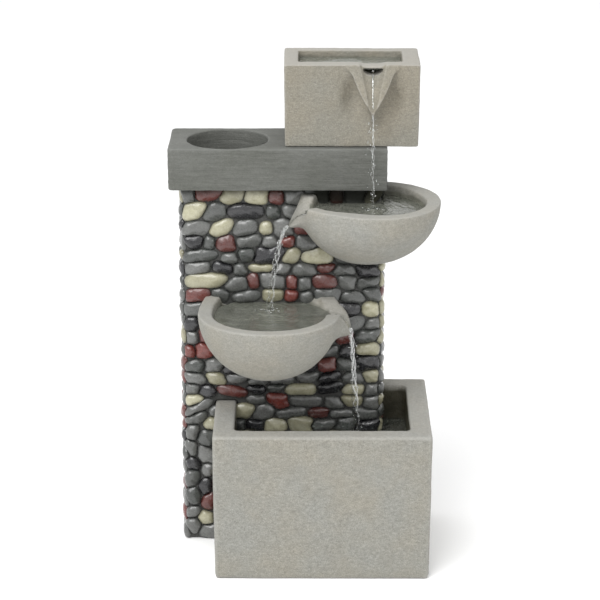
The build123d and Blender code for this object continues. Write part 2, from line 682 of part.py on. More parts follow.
def make_motor_block(core, coil):
    body = block((PUMP_X, BLOCK_END), PUMP_SIDES, (PUMP_LOW_Z, PUMP_HIGH_Z))
    body = fillet(body.edges().filter_by(Axis.X), 3)
    gland_z = PUMP_Z + GLAND_RISE
    body += rod_x(GLAND_RADIUS, (BLOCK_END, BLOCK_END + 6), PUMP_Y, gland_z)
    body -= rod_x(CORD_HOLE_RADIUS, (BLOCK_END - 1, BLOCK_END + 7), PUMP_Y, gland_z)
    body -= rod_x(ROTOR_WELL_RADIUS, (PUMP_X - 1, WELL_END), PUMP_Y, PUMP_Z)
    body -= rod_x(REAR_BUSH_RADIUS, (WELL_END - 1, WELL_END + BUSH_LENGTH), PUMP_Y, PUMP_Z)
    return body - core - coil


def make_volute():
    body = block((VOLUTE_FRONT, PUMP_X), PUMP_SIDES, (PUMP_LOW_Z, PUMP_HIGH_Z))
    body = fillet(body.edges().filter_by(Axis.X), 3)
    body += rod_z(HOSE_OUTER - 2, NOZZLE_X, PUMP_Y, (PUMP_HIGH_Z - 1, HOSE_BOTTOM_Z))
    body += rod_z(HOSE_OUTER, NOZZLE_X, PUMP_Y, (PUMP_HIGH_Z, HOSE_BOTTOM_Z))
    body += rod_z(BARB_RADIUS, NOZZLE_X, PUMP_Y, (HOSE_BOTTOM_Z - 1, HOSE_BOTTOM_Z + 16))
    # A raised lip on the front face carries the intake cover.
    lip_y = (PUMP_SIDES[0] + 2 + COVER_GAP, PUMP_SIDES[1] - 2 - COVER_GAP)
    lip_z = (PUMP_LOW_Z + 2 + COVER_GAP, PUMP_HIGH_Z - 2 - COVER_GAP)
    lip = block((VOLUTE_FRONT - 4, VOLUTE_FRONT), lip_y, lip_z)
    lip -= block(
        (VOLUTE_FRONT - 5, VOLUTE_FRONT),
        (lip_y[0] + 1.6, lip_y[1] - 1.6),
        (lip_z[0] + 1.6, lip_z[1] - 1.6),
    )
    body += lip
    chamber_x = PUMP_X - CHAMBER_DEPTH
    body -= rod_x(CHAMBER_RADIUS, (chamber_x, PUMP_X + 1), PUMP_Y, PUMP_Z)
    body -= rod_z(3.5, NOZZLE_X, PUMP_Y, (PUMP_Z, HOSE_BOTTOM_Z + 17))
    body -= rod_x(CHAMBER_RADIUS + SEAL_WIDTH, (PUMP_X - 1, PUMP_X + 1), PUMP_Y, PUMP_Z)
    # The intake is a ring crossed by three arms that hold the front bush.
    intake = rod_x(INTAKE_RADIUS, (VOLUTE_FRONT - 1, chamber_x + 1), PUMP_Y, PUMP_Z)
    intake -= rod_x(4.4, (VOLUTE_FRONT - 2, chamber_x + 2), PUMP_Y, PUMP_Z)
    for angle in (90, 210, 330):
        arm = Box(20, 2, 10)
        intake -= Pos(VOLUTE_FRONT, PUMP_Y, PUMP_Z) * Rot(angle, 0, 0) * Pos(0, 0, 5) * arm
    body -= intake
    return body - rod_x(FRONT_BUSH_RADIUS, (chamber_x - 3, chamber_x + 1), PUMP_Y, PUMP_Z)


def make_volute_seal():
    ring = rod_x(CHAMBER_RADIUS + SEAL_WIDTH, (PUMP_X - 1, PUMP_X), PUMP_Y, PUMP_Z)
    return ring - rod_x(CHAMBER_RADIUS, (PUMP_X - 2, PUMP_X + 1), PUMP_Y, PUMP_Z)


def make_impeller():
    hub = rod_x(HUB_RADIUS, (PUMP_X - 7.5, PUMP_X + 24), PUMP_Y, PUMP_Z)
    plate = rod_x(13, (PUMP_X - 2.6, PUMP_X - 1.2), PUMP_Y, PUMP_Z)
    wheel = hub + plate
    for index in range(BLADE_COUNT):
        blade = Box(5, 1.5, 10)
        turn = Rot(index * 360 / BLADE_COUNT, 0, 0)
        wheel += Pos(PUMP_X - 5, PUMP_Y, PUMP_Z) * turn * Pos(0, 0, 8) * blade
    return wheel - rod_x(SHAFT_RADIUS + RUN_GAP, (PUMP_X - 9, PUMP_X + 25), PUMP_Y, PUMP_Z)


def make_magnet():
    ring = rod_x(MAGNET_RADIUS, (PUMP_X + 2, PUMP_X + 2 + MAGNET_LENGTH), PUMP_Y, PUMP_Z)
    return ring - rod_x(HUB_RADIUS + 0.02, (PUMP_X, PUMP_X + 4 + MAGNET_LENGTH), PUMP_Y, PUMP_Z)


def make_shaft():
    return rod_x(SHAFT_RADIUS, (PUMP_X - CHAMBER_DEPTH - 3, WELL_END + BUSH_LENGTH), PUMP_Y, PUMP_Z)


def make_bushes():
    front_x = PUMP_X - CHAMBER_DEPTH
    front = rod_x(FRONT_BUSH_RADIUS, (front_x - 3, front_x), PUMP_Y, PUMP_Z)
    rear = rod_x(REAR_BUSH_RADIUS, (WELL_END, WELL_END + BUSH_LENGTH), PUMP_Y, PUMP_Z)
    bore = rod_x(SHAFT_RADIUS + 0.02, (front_x - 5, WELL_END + BUSH_LENGTH + 1), PUMP_Y, PUMP_Z)
    return [front - bore, rear - bore]


def dial_holes():
    """Y and Z of the inlet holes that the dial opens and closes."""
    places = []
    for angle in DIAL_HOLE_ANGLES:
        away_y = DIAL_HOLE_CIRCLE * math.cos(math.radians(angle))
        away_z = DIAL_HOLE_CIRCLE * math.sin(math.radians(angle))
        places.append((PUMP_Y + away_y, PUMP_Z + away_z))
    return places


def make_intake_cover():
    back = VOLUTE_FRONT - 0.3
    front = VOLUTE_FRONT - COVER_LENGTH
    cover = block((front, back), PUMP_SIDES, (PUMP_LOW_Z, PUMP_HIGH_Z))
    cover = fillet(cover.edges().filter_by(Axis.X), 3)
    cover -= block(
        (front + 2, back + 1),
        (PUMP_SIDES[0] + 2, PUMP_SIDES[1] - 2),
        (PUMP_LOW_Z + 2, PUMP_HIGH_Z - 2),
    )
    middle = (front + VOLUTE_FRONT - 5) / 2
    for step in (-1.5, -0.5, 0.5, 1.5):
        cover -= Pos(middle, PUMP_Y + step * 8, PUMP_HIGH_Z) * Box(11, 2.4, 9)
        cover -= Pos(middle, PUMP_SIDES[0], PUMP_Z + step * 8) * Box(11, 9, 2.4)
        cover -= Pos(middle, PUMP_SIDES[1], PUMP_Z + step * 8) * Box(11, 9, 2.4)
    for hole_y, hole_z in dial_holes():
        cover -= rod_x(DIAL_HOLE_RADIUS, (front - 1, front + 3), hole_y, hole_z)
    return cover - rod_x(SHAFT_RADIUS + RUN_GAP, (front - 1, front + 3), PUMP_Y, PUMP_Z)


def make_flow_dial():
    front = VOLUTE_FRONT - COVER_LENGTH
    dial = rod_x(DIAL_RADIUS, (front - 2.8, front - 0.3), PUMP_Y, PUMP_Z)
    for hole_y, hole_z in dial_holes():
        dial -= rod_x(DIAL_HOLE_RADIUS, (front - 4, front + 1), hole_y, hole_z)
    dial += block((front - 2.8, front - 0.3), (PUMP_Y - 2, PUMP_Y + 2), (PUMP_Z + 8, PUMP_Z + 14))
    dial += rod_x(SHAFT_RADIUS, (front - 1, front + 3), PUMP_Y, PUMP_Z)
    return dial + rod_x(2.4, (front + 2.3, front + 3.5), PUMP_Y, PUMP_Z)


def make_suction_cups():
    cups = []
    for x in (PUMP_X - 5, BLOCK_END - 9):
        for y in (PUMP_Y - 11, PUMP_Y + 11):
            middle_z = TROUGH_FLOOR_Z + CUP_HEIGHT / 2
            cup = Pos(x, y, middle_z) * Cone(8, 4, CUP_HEIGHT)
            cups.append(cup - Pos(x, y, middle_z - 2.5) * Cone(7, 2.5, CUP_HEIGHT - 1))
    return cups


# ---------------------------------------------------------------- build every node
parts = {}
lower_bowl = make_lower_bowl()
upper_bowl = make_upper_bowl()
bolts, washers, inserts = make_fasteners()
stator_core = make_stator_core()
stator_coil = make_coil(stator_core)

parts["basin_shell"] = make_basin()
parts.update(column_panels())
parts["cap_slab"] = make_slab()
parts["top_reservoir"] = make_reservoir()
parts["lower_bowl"] = drill_bowl(lower_bowl, LOWER_BOLTS)
parts["upper_bowl"] = drill_bowl(upper_bowl, UPPER_BOLTS)
for colour, stones in make_pebbles([lower_bowl, upper_bowl]).items():
    parts["pebbles_" + colour] = stones
parts["bowl_bolts"] = bolts
parts["bowl_washers"] = washers
parts["bowl_inserts"] = inserts
parts["rear_door"] = make_door()
parts["cord_grommet"] = make_grommet()
parts["reservoir_fitting"] = make_fitting()
parts["fitting_seal"] = make_fitting_seal()
parts["fitting_nut"] = make_fitting_nut()
parts["riser_hose"] = make_hose()
parts["hose_clips"] = make_hose_clips()
parts["pump_motor_block"] = make_motor_block(stator_core, stator_coil)
parts["pump_volute"] = make_volute()
parts["volute_seal"] = make_volute_seal()
parts["stator_core"] = stator_core
parts["stator_coil"] = stator_coil
parts["impeller"] = make_impeller()
parts["rotor_magnet"] = make_magnet()
parts["rotor_shaft"] = make_shaft()
parts["shaft_bushes"] = make_bushes()
parts["intake_cover"] = make_intake_cover()
parts["flow_dial"] = make_flow_dial()
parts["suction_cups"] = make_suction_cups()

os.makedirs("parts", exist_ok=True)
for name, shape in parts.items():
    if isinstance(shape, list):
        shape = Compound(children=[piece for item in shape for piece in item.solids()])
    export_step(shape, "parts/%s.step" % name)
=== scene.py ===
import math

import bpy
import numpy as np
from mathutils import Matrix, Vector
from mathutils.bvhtree import BVHTree


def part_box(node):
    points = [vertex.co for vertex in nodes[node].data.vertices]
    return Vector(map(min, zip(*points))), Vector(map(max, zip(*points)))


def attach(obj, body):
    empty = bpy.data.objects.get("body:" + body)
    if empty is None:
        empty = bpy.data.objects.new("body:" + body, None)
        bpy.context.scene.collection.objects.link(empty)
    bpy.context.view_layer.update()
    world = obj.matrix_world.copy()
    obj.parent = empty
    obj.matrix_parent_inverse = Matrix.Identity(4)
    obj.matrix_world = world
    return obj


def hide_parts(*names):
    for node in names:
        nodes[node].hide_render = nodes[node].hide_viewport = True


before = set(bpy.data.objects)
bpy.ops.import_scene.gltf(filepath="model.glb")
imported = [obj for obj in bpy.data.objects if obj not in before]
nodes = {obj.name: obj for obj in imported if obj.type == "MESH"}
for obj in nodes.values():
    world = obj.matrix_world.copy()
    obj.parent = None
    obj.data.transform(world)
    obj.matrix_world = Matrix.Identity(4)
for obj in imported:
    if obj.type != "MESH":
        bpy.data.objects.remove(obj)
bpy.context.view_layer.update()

# Looks of the tiered water fountain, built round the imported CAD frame. Metres.
MM = 0.001
scene = bpy.context.scene


# ---------------------------- numbers and noise
def lattice_noise(points, seed):
    """Smooth noise from -1 to 1; points are measured in cells."""
    base = np.floor(points).astype(np.int64)
    part = points - base
    part = part * part * (3 - 2 * part)
    total = np.zeros(len(points))
    for corner in range(8):
        step = np.array([corner & 1, corner >> 1 & 1, corner >> 2 & 1])
        cell = base + step
        # A hash of the cell; the large factors only scatter its bits.
        key = cell[:, 0] * 73856093 ^ cell[:, 1] * 19349663 ^ cell[:, 2] * 83492791
        key = (key ^ seed * 40503) & 0x7FFFFFFF
        key = (key ^ key >> 13) * 1274126177 & 0x7FFFFFFF
        key = (key ^ key >> 16) * 668265263 & 0x7FFFFFFF
        value = ((key >> 8) & 0xFFFF) / 32767.5 - 1
        total += value * np.prod(np.where(step, part, 1 - part), axis=1)
    return total


def wavy(points, cell, seed, octaves=1):
    """Layered noise; cell is the widest layer's cell in metres, a number or one per axis."""
    total, size = np.zeros(len(points)), 1.0
    cell = np.array(cell, float)
    for layer in range(octaves):
        total += size * lattice_noise(points / cell * 2**layer + 31.7 * layer, seed + layer)
        size *= 0.5
    return total


def smoothstep(low, high, x):
    t = np.clip((x - low) / (high - low), 0, 1)
    return t * t * (3 - 2 * t)


# ---------------------------- meshes
def mesh_arrays(mesh, key="co"):
    out = np.zeros(len(mesh.vertices) * 3, np.float32)
    mesh.vertices.foreach_get(key, out)
    return out.reshape(-1, 3).astype(float)


def triangles_of(mesh):
    mesh.calc_loop_triangles()
    tris = np.zeros(len(mesh.loop_triangles) * 3, np.int32)
    mesh.loop_triangles.foreach_get("vertices", tris)
    return tris.reshape(-1, 3)


def new_object(name, verts, faces, material=None):
    mesh = bpy.data.meshes.new(name)
    faces = faces.tolist() if hasattr(faces, "tolist") else faces
    mesh.from_pydata(np.asarray(verts, float).tolist(), [], faces)
    mesh.validate()
    mesh.shade_smooth()
    made = bpy.data.objects.new(name, mesh)
    scene.collection.objects.link(made)
    if material:
        mesh.materials.append(material)
    return made


def add_float(mesh, name, values):
    layer = mesh.attributes.new(name, "FLOAT", "POINT")
    layer.data.foreach_set("value", np.asarray(values, np.float32))


def gather(parts):
    """Joins (verts, faces) pairs into one pair."""
    faces, count = [], 0
    for v, f in parts:
        faces += [[i + count for i in face] for face in f]
        count += len(v)
    return np.concatenate([v for v, f in parts]), faces


def directions(turns):
    return np.arange(turns) / turns * 2 * math.pi


def band(k, n, turns, rings, first=0):
    """Quads from direction k to direction n, down a stack of rings of points."""
    quads = []
    for ring in range(rings - 1):
        a, b = first + ring * turns, first + (ring + 1) * turns
        quads.append([a + k, b + k, b + n, a + n])
    return quads


def tree_of(obj):
    return BVHTree.FromPolygons(mesh_arrays(obj.data).tolist(), triangles_of(obj.data).tolist())


# ---------------------------- camera, floor, light
camera_data = bpy.data.cameras.new("camera")
camera_data.sensor_width = 36.0
camera_data.lens = 144.0
camera_data.clip_end = 50.0
camera = bpy.data.objects.new("camera", camera_data)
scene.collection.objects.link(camera)
scene.camera = camera
PITCH, YAW = 0.314848, -0.004565       # radians below level, and to the left of +Y
CAMERA_AT = (0.00907, -3.2405, 1.4391)
ahead = Vector((math.sin(YAW) * math.cos(PITCH), math.cos(YAW) * math.cos(PITCH), -math.sin(PITCH)))
over = Vector((math.sin(YAW) * math.sin(PITCH), math.cos(YAW) * math.sin(PITCH), math.cos(PITCH)))
right = Vector((math.cos(YAW), -math.sin(YAW), 0))
turn = Matrix((right, over, -ahead)).transposed()
camera.matrix_world = Matrix.Translation(CAMERA_AT) @ turn.to_4x4()

scene.view_settings.view_transform = "Standard"
world = bpy.data.worlds.new("studio")
world.use_nodes = True
sky = world.node_tree.nodes["Background"]
sky.inputs["Color"].default_value = (1.0, 1.0, 1.0, 1)
sky.inputs["Strength"].default_value = 1.0
scene.world = world


def soft_light(name, place, aim, size, power):
    data = bpy.data.lights.new(name, "AREA")
    data.shape = "RECTANGLE"
    data.size, data.size_y = size
    data.energy = power
    lamp = bpy.data.objects.new(name, data)
    lamp.location = place
    lamp.rotation_mode = "QUATERNION"
    lamp.rotation_quaternion = (Vector(aim) - Vector(place)).to_track_quat("-Z", "Y")
    scene.collection.objects.link(lamp)


MID_HEIGHT = (0, 0, 0.35)
soft_light("key", (-1.1, -2.0, 3.0), MID_HEIGHT, (2.2, 2.2), 105)
soft_light("fill", (2.4, -2.4, 1.6), MID_HEIGHT, (1.6, 1.6), 12)


# ---------------------------- materials
class Shader:
    """A material's node tree, with short calls for the nodes used here."""

    def __init__(self, name):
        self.mat = bpy.data.materials.new(name)
        self.mat.use_nodes = True
        self.tree = self.mat.node_tree
        self.tree.nodes.clear()
        self.out = self.node("ShaderNodeOutputMaterial")
        self.place = self.node("ShaderNodeTexCoord").outputs["Object"]

    def node(self, kind, **settings):
        made = self.tree.nodes.new(kind)
        for key, value in settings.items():
            setattr(made, key, value)
        return made

    def link(self, source, target):
        self.tree.links.new(source, target)

    def feed(self, made, values):
        for key, value in values.items():
            if hasattr(value, "links"):
                self.link(value, made.inputs[key])
            else:
                made.inputs[key].default_value = value

    def stretched(self, scale):
        made = self.node("ShaderNodeMapping")
        self.feed(made, {"Vector": self.place, "Scale": scale})
        return made.outputs[0]

    def noise(self, scale, detail=2.0, rough=0.5, vector=None, distortion=0.0):
        made = self.node("ShaderNodeTexNoise")
        self.feed(made, {"Vector": vector or self.place, "Scale": scale, "Detail": detail})
        self.feed(made, {"Roughness": rough, "Distortion": distortion})
        return made.outputs["Fac"]

    def cells(self, scale):
        made = self.node("ShaderNodeTexVoronoi", feature="F1")
        self.feed(made, {"Vector": self.place, "Scale": scale})
        return made.outputs["Distance"]

    def remap(self, value, low, high, to_low=0.0, to_high=1.0):
        made = self.node("ShaderNodeMapRange", clamp=True)
        self.feed(made, {"Value": value, "From Min": low, "From Max": high})
        self.feed(made, {"To Min": to_low, "To Max": to_high})
        return made.outputs[0]

    def math(self, kind, a, b=0.0):
        made = self.node("ShaderNodeMath", operation=kind)
        self.feed(made, {0: a, 1: b})
        return made.outputs[0]

    def mix(self, factor, a, b, kind="MIX"):
        made = self.node("ShaderNodeMix", data_type="RGBA", blend_type=kind)
        self.feed(made, {0: factor, 6: a, 7: b})
        return made.outputs[2]

    def speckle(self, factor, colour, pattern, dark, light):
        """Darkens and lightens a colour by a pattern from 0 to 1."""
        return self.mix(factor, colour, self.mix(pattern, dark, light), "MULTIPLY")

    def attribute(self, name):
        return self.node("ShaderNodeAttribute", attribute_name=name).outputs["Fac"]

    def bump(self, height, distance, strength=1.0, under=None):
        made = self.node("ShaderNodeBump")
        values = {"Height": height, "Distance": distance, "Strength": strength}
        if under is not None:
            values["Normal"] = under
        self.feed(made, values)
        return made.outputs[0]

    def principled(self, **values):
        made = self.node("ShaderNodeBsdfPrincipled")
        self.feed(made, {key.replace("_", " "): value for key, value in values.items()})
        self.link(made.outputs[0], self.out.inputs["Surface"])
        return self.mat


def rgb(r, g, b):
    return (r, g, b, 1.0)


def grey(value):
    return rgb(value, value, value)


def shade(colour, factor):
    return rgb(*(part * factor for part in colour[:3]))


def cast_stone(name, warm, cool, light, grain=1.0, brushed=0.0, wet_colour=None, top=0.35):
    """Fine-grained cast stone: broad warm and cool clouds, sandy speckle, paler raised edges, painted light
    on upward faces and painted shade in hollows.
    """
    s = Shader(name)
    clouds = s.remap(s.noise(14, 3, 0.55), 0.35, 0.65)
    colour = s.mix(clouds, warm, cool)
    stains = s.remap(s.noise(38, 4, 0.6), 0.55, 0.8, 0.0, 0.35)
    colour = s.mix(stains, colour, shade(warm, 0.8))
    sand = s.noise(620, 3, 0.7)
    grains = s.remap(sand, 0.3, 0.7)
    colour = s.speckle(0.5 * grain, colour, grains, rgb(0.5, 0.48, 0.45), rgb(1.42, 1.42, 1.4))
    mottle = s.remap(s.noise(1.0, 3, 0.6, s.stretched((170, 170, 330))), 0.32, 0.68)
    colour = s.speckle(0.3 * grain, colour, mottle, rgb(0.62, 0.61, 0.58), rgb(1.32, 1.32, 1.31))
    flecks = s.remap(s.cells(430), 0.1, 0.24, 0.5 * grain, 0.0)
    colour = s.mix(flecks, colour, light)
    pits = s.remap(s.cells(290), 0.08, 0.2, 0.4 * grain, 0.0)
    colour = s.mix(pits, colour, shade(warm, 0.55))
    if brushed:
        strokes = s.noise(1.0, 4, 0.6, s.stretched((26, 60, 420)))
        colour = s.speckle(brushed, colour, s.remap(strokes, 0.3, 0.7), grey(0.8), grey(1.2))
    # Painted light and shade: upward faces are painted paler as if lit from above, raised edges are painted
    # paler, and hollows are painted darker as shade.
    form = s.node("ShaderNodeNewGeometry")
    facing = s.node("ShaderNodeSeparateXYZ")
    s.link(form.outputs["Normal"], facing.inputs[0])
    colour = s.mix(s.remap(facing.outputs["Z"], 0.6, 0.97, 0.0, top), colour, light)
    pointed = form.outputs["Pointiness"]
    colour = s.mix(s.remap(pointed, 0.515, 0.58, 0.0, 0.75), colour, light)
    colour = s.mix(s.remap(pointed, 0.49, 0.42, 0.0, 0.6), colour, shade(warm, 0.5))
    roughness = s.remap(sand, 0.3, 0.7, 0.78, 0.95)
    if wet_colour:
        wet = s.attribute("wet")
        algae = s.mix(s.remap(s.noise(60, 4, 0.6), 0.35, 0.7), wet_colour, shade(wet_colour, 0.6))
        colour = s.mix(wet, colour, algae)
        roughness = s.math("SUBTRACT", roughness, s.math("MULTIPLY", wet, 0.55))
    bump = s.bump(sand, 0.0006 * grain, 0.7)
    bump = s.bump(s.noise(170, 3, 0.6), 0.002 * grain, 0.6, bump)
    bump = s.bump(s.remap(s.cells(290), 0.0, 0.25), 0.0005, 0.6, bump)
    if brushed:
        bump = s.bump(strokes, 0.0011, 0.7, bump)
    return s.principled(Base_Color=colour, Roughness=roughness, Normal=bump, Specular_IOR_Level=0.35)


def pebble(name, dark, light, vein, gloss=0.16):
    """A wet river pebble: each stone has its own tone, with faint veins and a clear gloss."""
    s = Shader(name)
    tone = s.attribute("tone")
    colour = s.mix(tone, dark, light)
    blotch = s.remap(s.noise(120, 4, 0.6, distortion=0.6), 0.3, 0.7)
    colour = s.mix(s.math("MULTIPLY", blotch, 0.5), colour, vein)
    fine = s.noise(900, 3, 0.7)
    colour = s.speckle(0.35, colour, s.remap(fine, 0.3, 0.7), grey(0.65), grey(1.35))
    # Painted shade: each stone is painted darker towards its rim, where it curves down into the mortar.
    edge = s.remap(s.attribute("edge"), 0.76, 1.0, 0.0, 0.6)
    colour = s.mix(edge, colour, shade(dark, 0.35))
    # Painted shade: shaded stones are painted nearly black, and their specular and coat fade out.
    damp = s.attribute("damp")
    colour = s.mix(damp, colour, rgb(0.014, 0.015, 0.012))
    roughness = s.remap(s.noise(260, 3, 0.6), 0.3, 0.7, gloss, gloss + 0.3)
    bump = s.bump(s.noise(230, 4, 0.6), 0.0011, 0.6)
    bump = s.bump(fine, 0.0003, 0.5, bump)
    shine = s.remap(damp, 0.0, 1.0, 0.5, 0.0)
    coat = {"Specular_IOR_Level": shine, "Coat_Weight": shine, "Coat_Roughness": 0.07}
    return s.principled(Base_Color=colour, Roughness=roughness, Normal=bump, **coat)


def plain(
    name, colour, low_rough, high_rough, scale=260.0, depth=0.0002, metallic=0.0, spread=0.2, stretch=None,
    **more,
):
    """A moulded, turned or rubber surface: slight tone change, uneven gloss and a fine texture."""
    s = Shader(name)
    vector = s.stretched(stretch) if stretch else None
    fine = s.noise(scale if not stretch else 1.0, 3, 0.6, vector)
    tone = s.mix(s.remap(fine, 0.3, 0.7), shade(colour, 1 - spread), shade(colour, 1 + spread))
    broad = s.remap(s.noise(40, 3, 0.5), 0.35, 0.7, 0.0, 0.35)
    tone = s.mix(broad, tone, shade(colour, 1 - 1.5 * spread))
    roughness = s.remap(fine, 0.3, 0.7, low_rough, high_rough)
    bump = s.bump(fine, depth, 0.6)
    return s.principled(Base_Color=tone, Roughness=roughness, Normal=bump, Metallic=metallic, **more)


def water(name, tint, rough, clear_face=0.9, murk=0.0):
    """Thin water: looked through where faced, mirror-like towards its rim, cloudy by murk, with painted light
    streaks in the murk.
    """
    s = Shader(name)
    clear = s.node("ShaderNodeBsdfTransparent")
    clear.inputs["Color"].default_value = tint
    body = clear
    if murk:
        # The murk's colour swirls in stretched pale and dark streaks: partly silt in the water, partly
        # painted light like caustics and ripple glints.
        swirl = s.noise(1.0, 4, 0.6, s.stretched((34, 90, 60)), distortion=1.2)
        cloud = s.node("ShaderNodeBsdfDiffuse")
        silt_and_painted_caustics = s.mix(s.remap(swirl, 0.35, 0.68), rgb(0.125, 0.13, 0.108), rgb(0.215, 0.22, 0.187))
        s.feed(cloud, {"Color": silt_and_painted_caustics})
        body = s.node("ShaderNodeMixShader")
        s.feed(body, {0: murk, 1: clear.outputs[0], 2: cloud.outputs[0]})
    gloss = s.node("ShaderNodeBsdfGlossy")
    ripple = s.bump(s.noise(160, 3, 0.5, distortion=0.8), 0.0012, 0.5)
    s.feed(gloss, {"Color": (1, 1, 1, 1), "Roughness": rough, "Normal": ripple})
    rim = s.node("ShaderNodeFresnel")
    s.feed(rim, {"IOR": 1.33, "Normal": ripple})
    both = s.node("ShaderNodeMixShader")
    share = s.remap(rim.outputs[0], 0.0, 1.0, 1.0 - clear_face, 1.0)
    s.feed(both, {0: share, 1: body.outputs[0], 2: gloss.outputs[0]})
    s.link(both.outputs[0], s.out.inputs["Surface"])
    return s.mat


# Three tones each: a warm one, a cool one, and a pale one for flecks, paler raised edges and the painted
# light on upward faces.
BEIGE = rgb(0.25, 0.24, 0.207), rgb(0.24, 0.241, 0.222), rgb(0.37, 0.365, 0.345)
TAN = rgb(0.213, 0.196, 0.158), rgb(0.2, 0.193, 0.165), rgb(0.38, 0.37, 0.345)
SLATE = rgb(0.097, 0.1, 0.09), rgb(0.118, 0.121, 0.112), rgb(0.18, 0.183, 0.174)
MORTAR = rgb(0.04, 0.041, 0.039), rgb(0.06, 0.06, 0.058), rgb(0.09, 0.09, 0.088)
DOOR_GREY = rgb(0.10, 0.10, 0.098), rgb(0.13, 0.13, 0.128), rgb(0.2, 0.2, 0.195)
# The top argument sets how much painted light from above falls on upward faces.
mat_beige = cast_stone("cast_beige", *BEIGE, grain=1.15, wet_colour=rgb(0.075, 0.07, 0.048))
mat_bowl = cast_stone("cast_beige_bowl", *BEIGE, grain=0.9, wet_colour=rgb(0.16, 0.16, 0.13))
mat_box = cast_stone("cast_beige_box", *TAN, wet_colour=rgb(0.15, 0.145, 0.115), top=0.55)
mat_slab = cast_stone("cast_grey", *SLATE, grain=0.6, brushed=0.6, top=0.15)
mat_mortar = cast_stone("mortar", *MORTAR)
mat_door = cast_stone("door_grey", *DOOR_GREY, grain=0.8)
# Each colour's darkest tone, its lightest and its veins.
PEBBLE_LOOKS = {
    "pebbles_grey": (rgb(0.034, 0.04, 0.035), rgb(0.135, 0.138, 0.13), rgb(0.07, 0.068, 0.068)),
    "pebbles_cream": (rgb(0.24, 0.23, 0.155), rgb(0.42, 0.405, 0.285), rgb(0.2, 0.185, 0.12)),
    "pebbles_red": (rgb(0.075, 0.02, 0.016), rgb(0.17, 0.035, 0.026), rgb(0.055, 0.022, 0.02)),
    "pebbles_black": (rgb(0.005, 0.005, 0.006), rgb(0.014, 0.014, 0.016), rgb(0.02, 0.02, 0.023)),
}


# ---------------------------- sculpted solids
def blend_max(a, b, k):
    """The larger of two distances, with their crease rounded over about k."""
    h = np.clip(0.5 + 0.5 * (a - b) / k, 0, 1)
    return a * h + b * (1 - h) + k * h * (1 - h)


def blend_min(a, b, k):
    return -blend_max(-a, -b, k)


def trim(body, *cuts):
    """Cuts a form back to each (form, rounding) in turn."""
    for form, k in cuts:
        body = blend_max(body, form, k)
    return body


def egg(x, y, z, radii, power=2.0):
    """Distance to an ellipsoid; power over 2 squares its plan."""
    rx, ry, rz = radii
    plan = (np.abs(x / rx) ** power + np.abs(y / ry) ** power) ** (2 / power)
    q = np.sqrt(plan + (z / rz) ** 2) + 1e-9
    slope = np.sqrt((x / rx**2) ** 2 + (y / ry**2) ** 2 + (z / rz**2) ** 2) + 1e-9
    return (q - 1) * q / slope


def sculpt(low, high, step, shape):
    """Skin of the solid where shape(x, y, z) is below 0: millimetres in, vertices in metres out."""
    axes = [np.arange(low[k], high[k] + step, step) for k in range(3)]
    grid = np.meshgrid(*axes, indexing="ij")
    f = shape(*grid)
    n = np.array(f.shape) - 1
    corners = [(a, b, c) for a in (0, 1) for b in (0, 1) for c in (0, 1)]
    solid = f < 0
    votes = sum(solid[a : a + n[0], b : b + n[1], c : c + n[2]].astype(np.int8) for a, b, c in corners)
    active = (votes > 0) & (votes < 8)
    number = np.full(active.shape, -1, np.int64)
    cells = np.argwhere(active)
    number[active] = np.arange(len(cells))
    total, hits = np.zeros((len(cells), 3)), np.zeros(len(cells))
    for a in corners:
        for axis in range(3):
            if a[axis]:
                continue
            ahead = np.eye(3, dtype=int)[axis]
            fa, fb = f[tuple((cells + a).T)], f[tuple((cells + a + ahead).T)]
            cross = (fa < 0) != (fb < 0)
            t = np.where(cross, fa / np.where(cross, fa - fb, 1), 0)
            total += (np.array(a) + np.outer(t, ahead)) * cross[:, None]
            hits += cross
    verts = (np.array(low) + step * (cells + total / hits[:, None])) * MM
    faces = []
    for axis in range(3):
        u, v = (axis + 1) % 3, (axis + 2) % 3
        points = np.argwhere(np.diff(solid, axis=axis))
        inside = (points[:, u] > 0) & (points[:, v] > 0) & (points[:, u] < n[u]) & (points[:, v] < n[v])
        points = points[inside]
        eu, ev = np.eye(3, dtype=int)[[u, v]]
        ring = [points, points - eu, points - eu - ev, points - ev]
        quad = np.stack([number[tuple(r.T)] for r in ring], axis=1)
        flip = ~solid[tuple(points.T)]
        quad[flip] = quad[flip][:, ::-1]
        faces.append(quad)
    return verts, np.concatenate(faces)


def between(x, stations):
    """Values that change evenly along x, from rows of (x, value, value...)."""
    first, *others = zip(*stations)
    return [np.interp(x, first, column) for column in others]


def bill(x, y, z, stations, power=2.3):
    """A spout's solid: rows of (x, front y, back y, top, underside), rounded in section."""
    front, back, top, under = between(x, stations)
    half_y, half_z = (back - front) / 2, (top - under) / 2
    v, w = np.abs(y - (front + back) / 2) / half_y, np.abs(z - (top + under) / 2) / half_z
    f = ((v**power + w**power) ** (1 / power) - 1) * np.minimum(half_y, half_z)
    ends = np.maximum(stations[0][0] - x, x - stations[-1][0])
    return blend_max(f, ends, 3)


def dish(x, y, z, stations):
    """The water's way over a spout: rows of (x, middle y, half width, floor, rise at its sides)."""
    middle, half, floor_z, rise = between(x, stations)
    f = (floor_z + rise * ((y - middle) / half) ** 2 - z) * 0.8
    return np.maximum(f, np.maximum(stations[0][0] - x, x - stations[-1][0]))


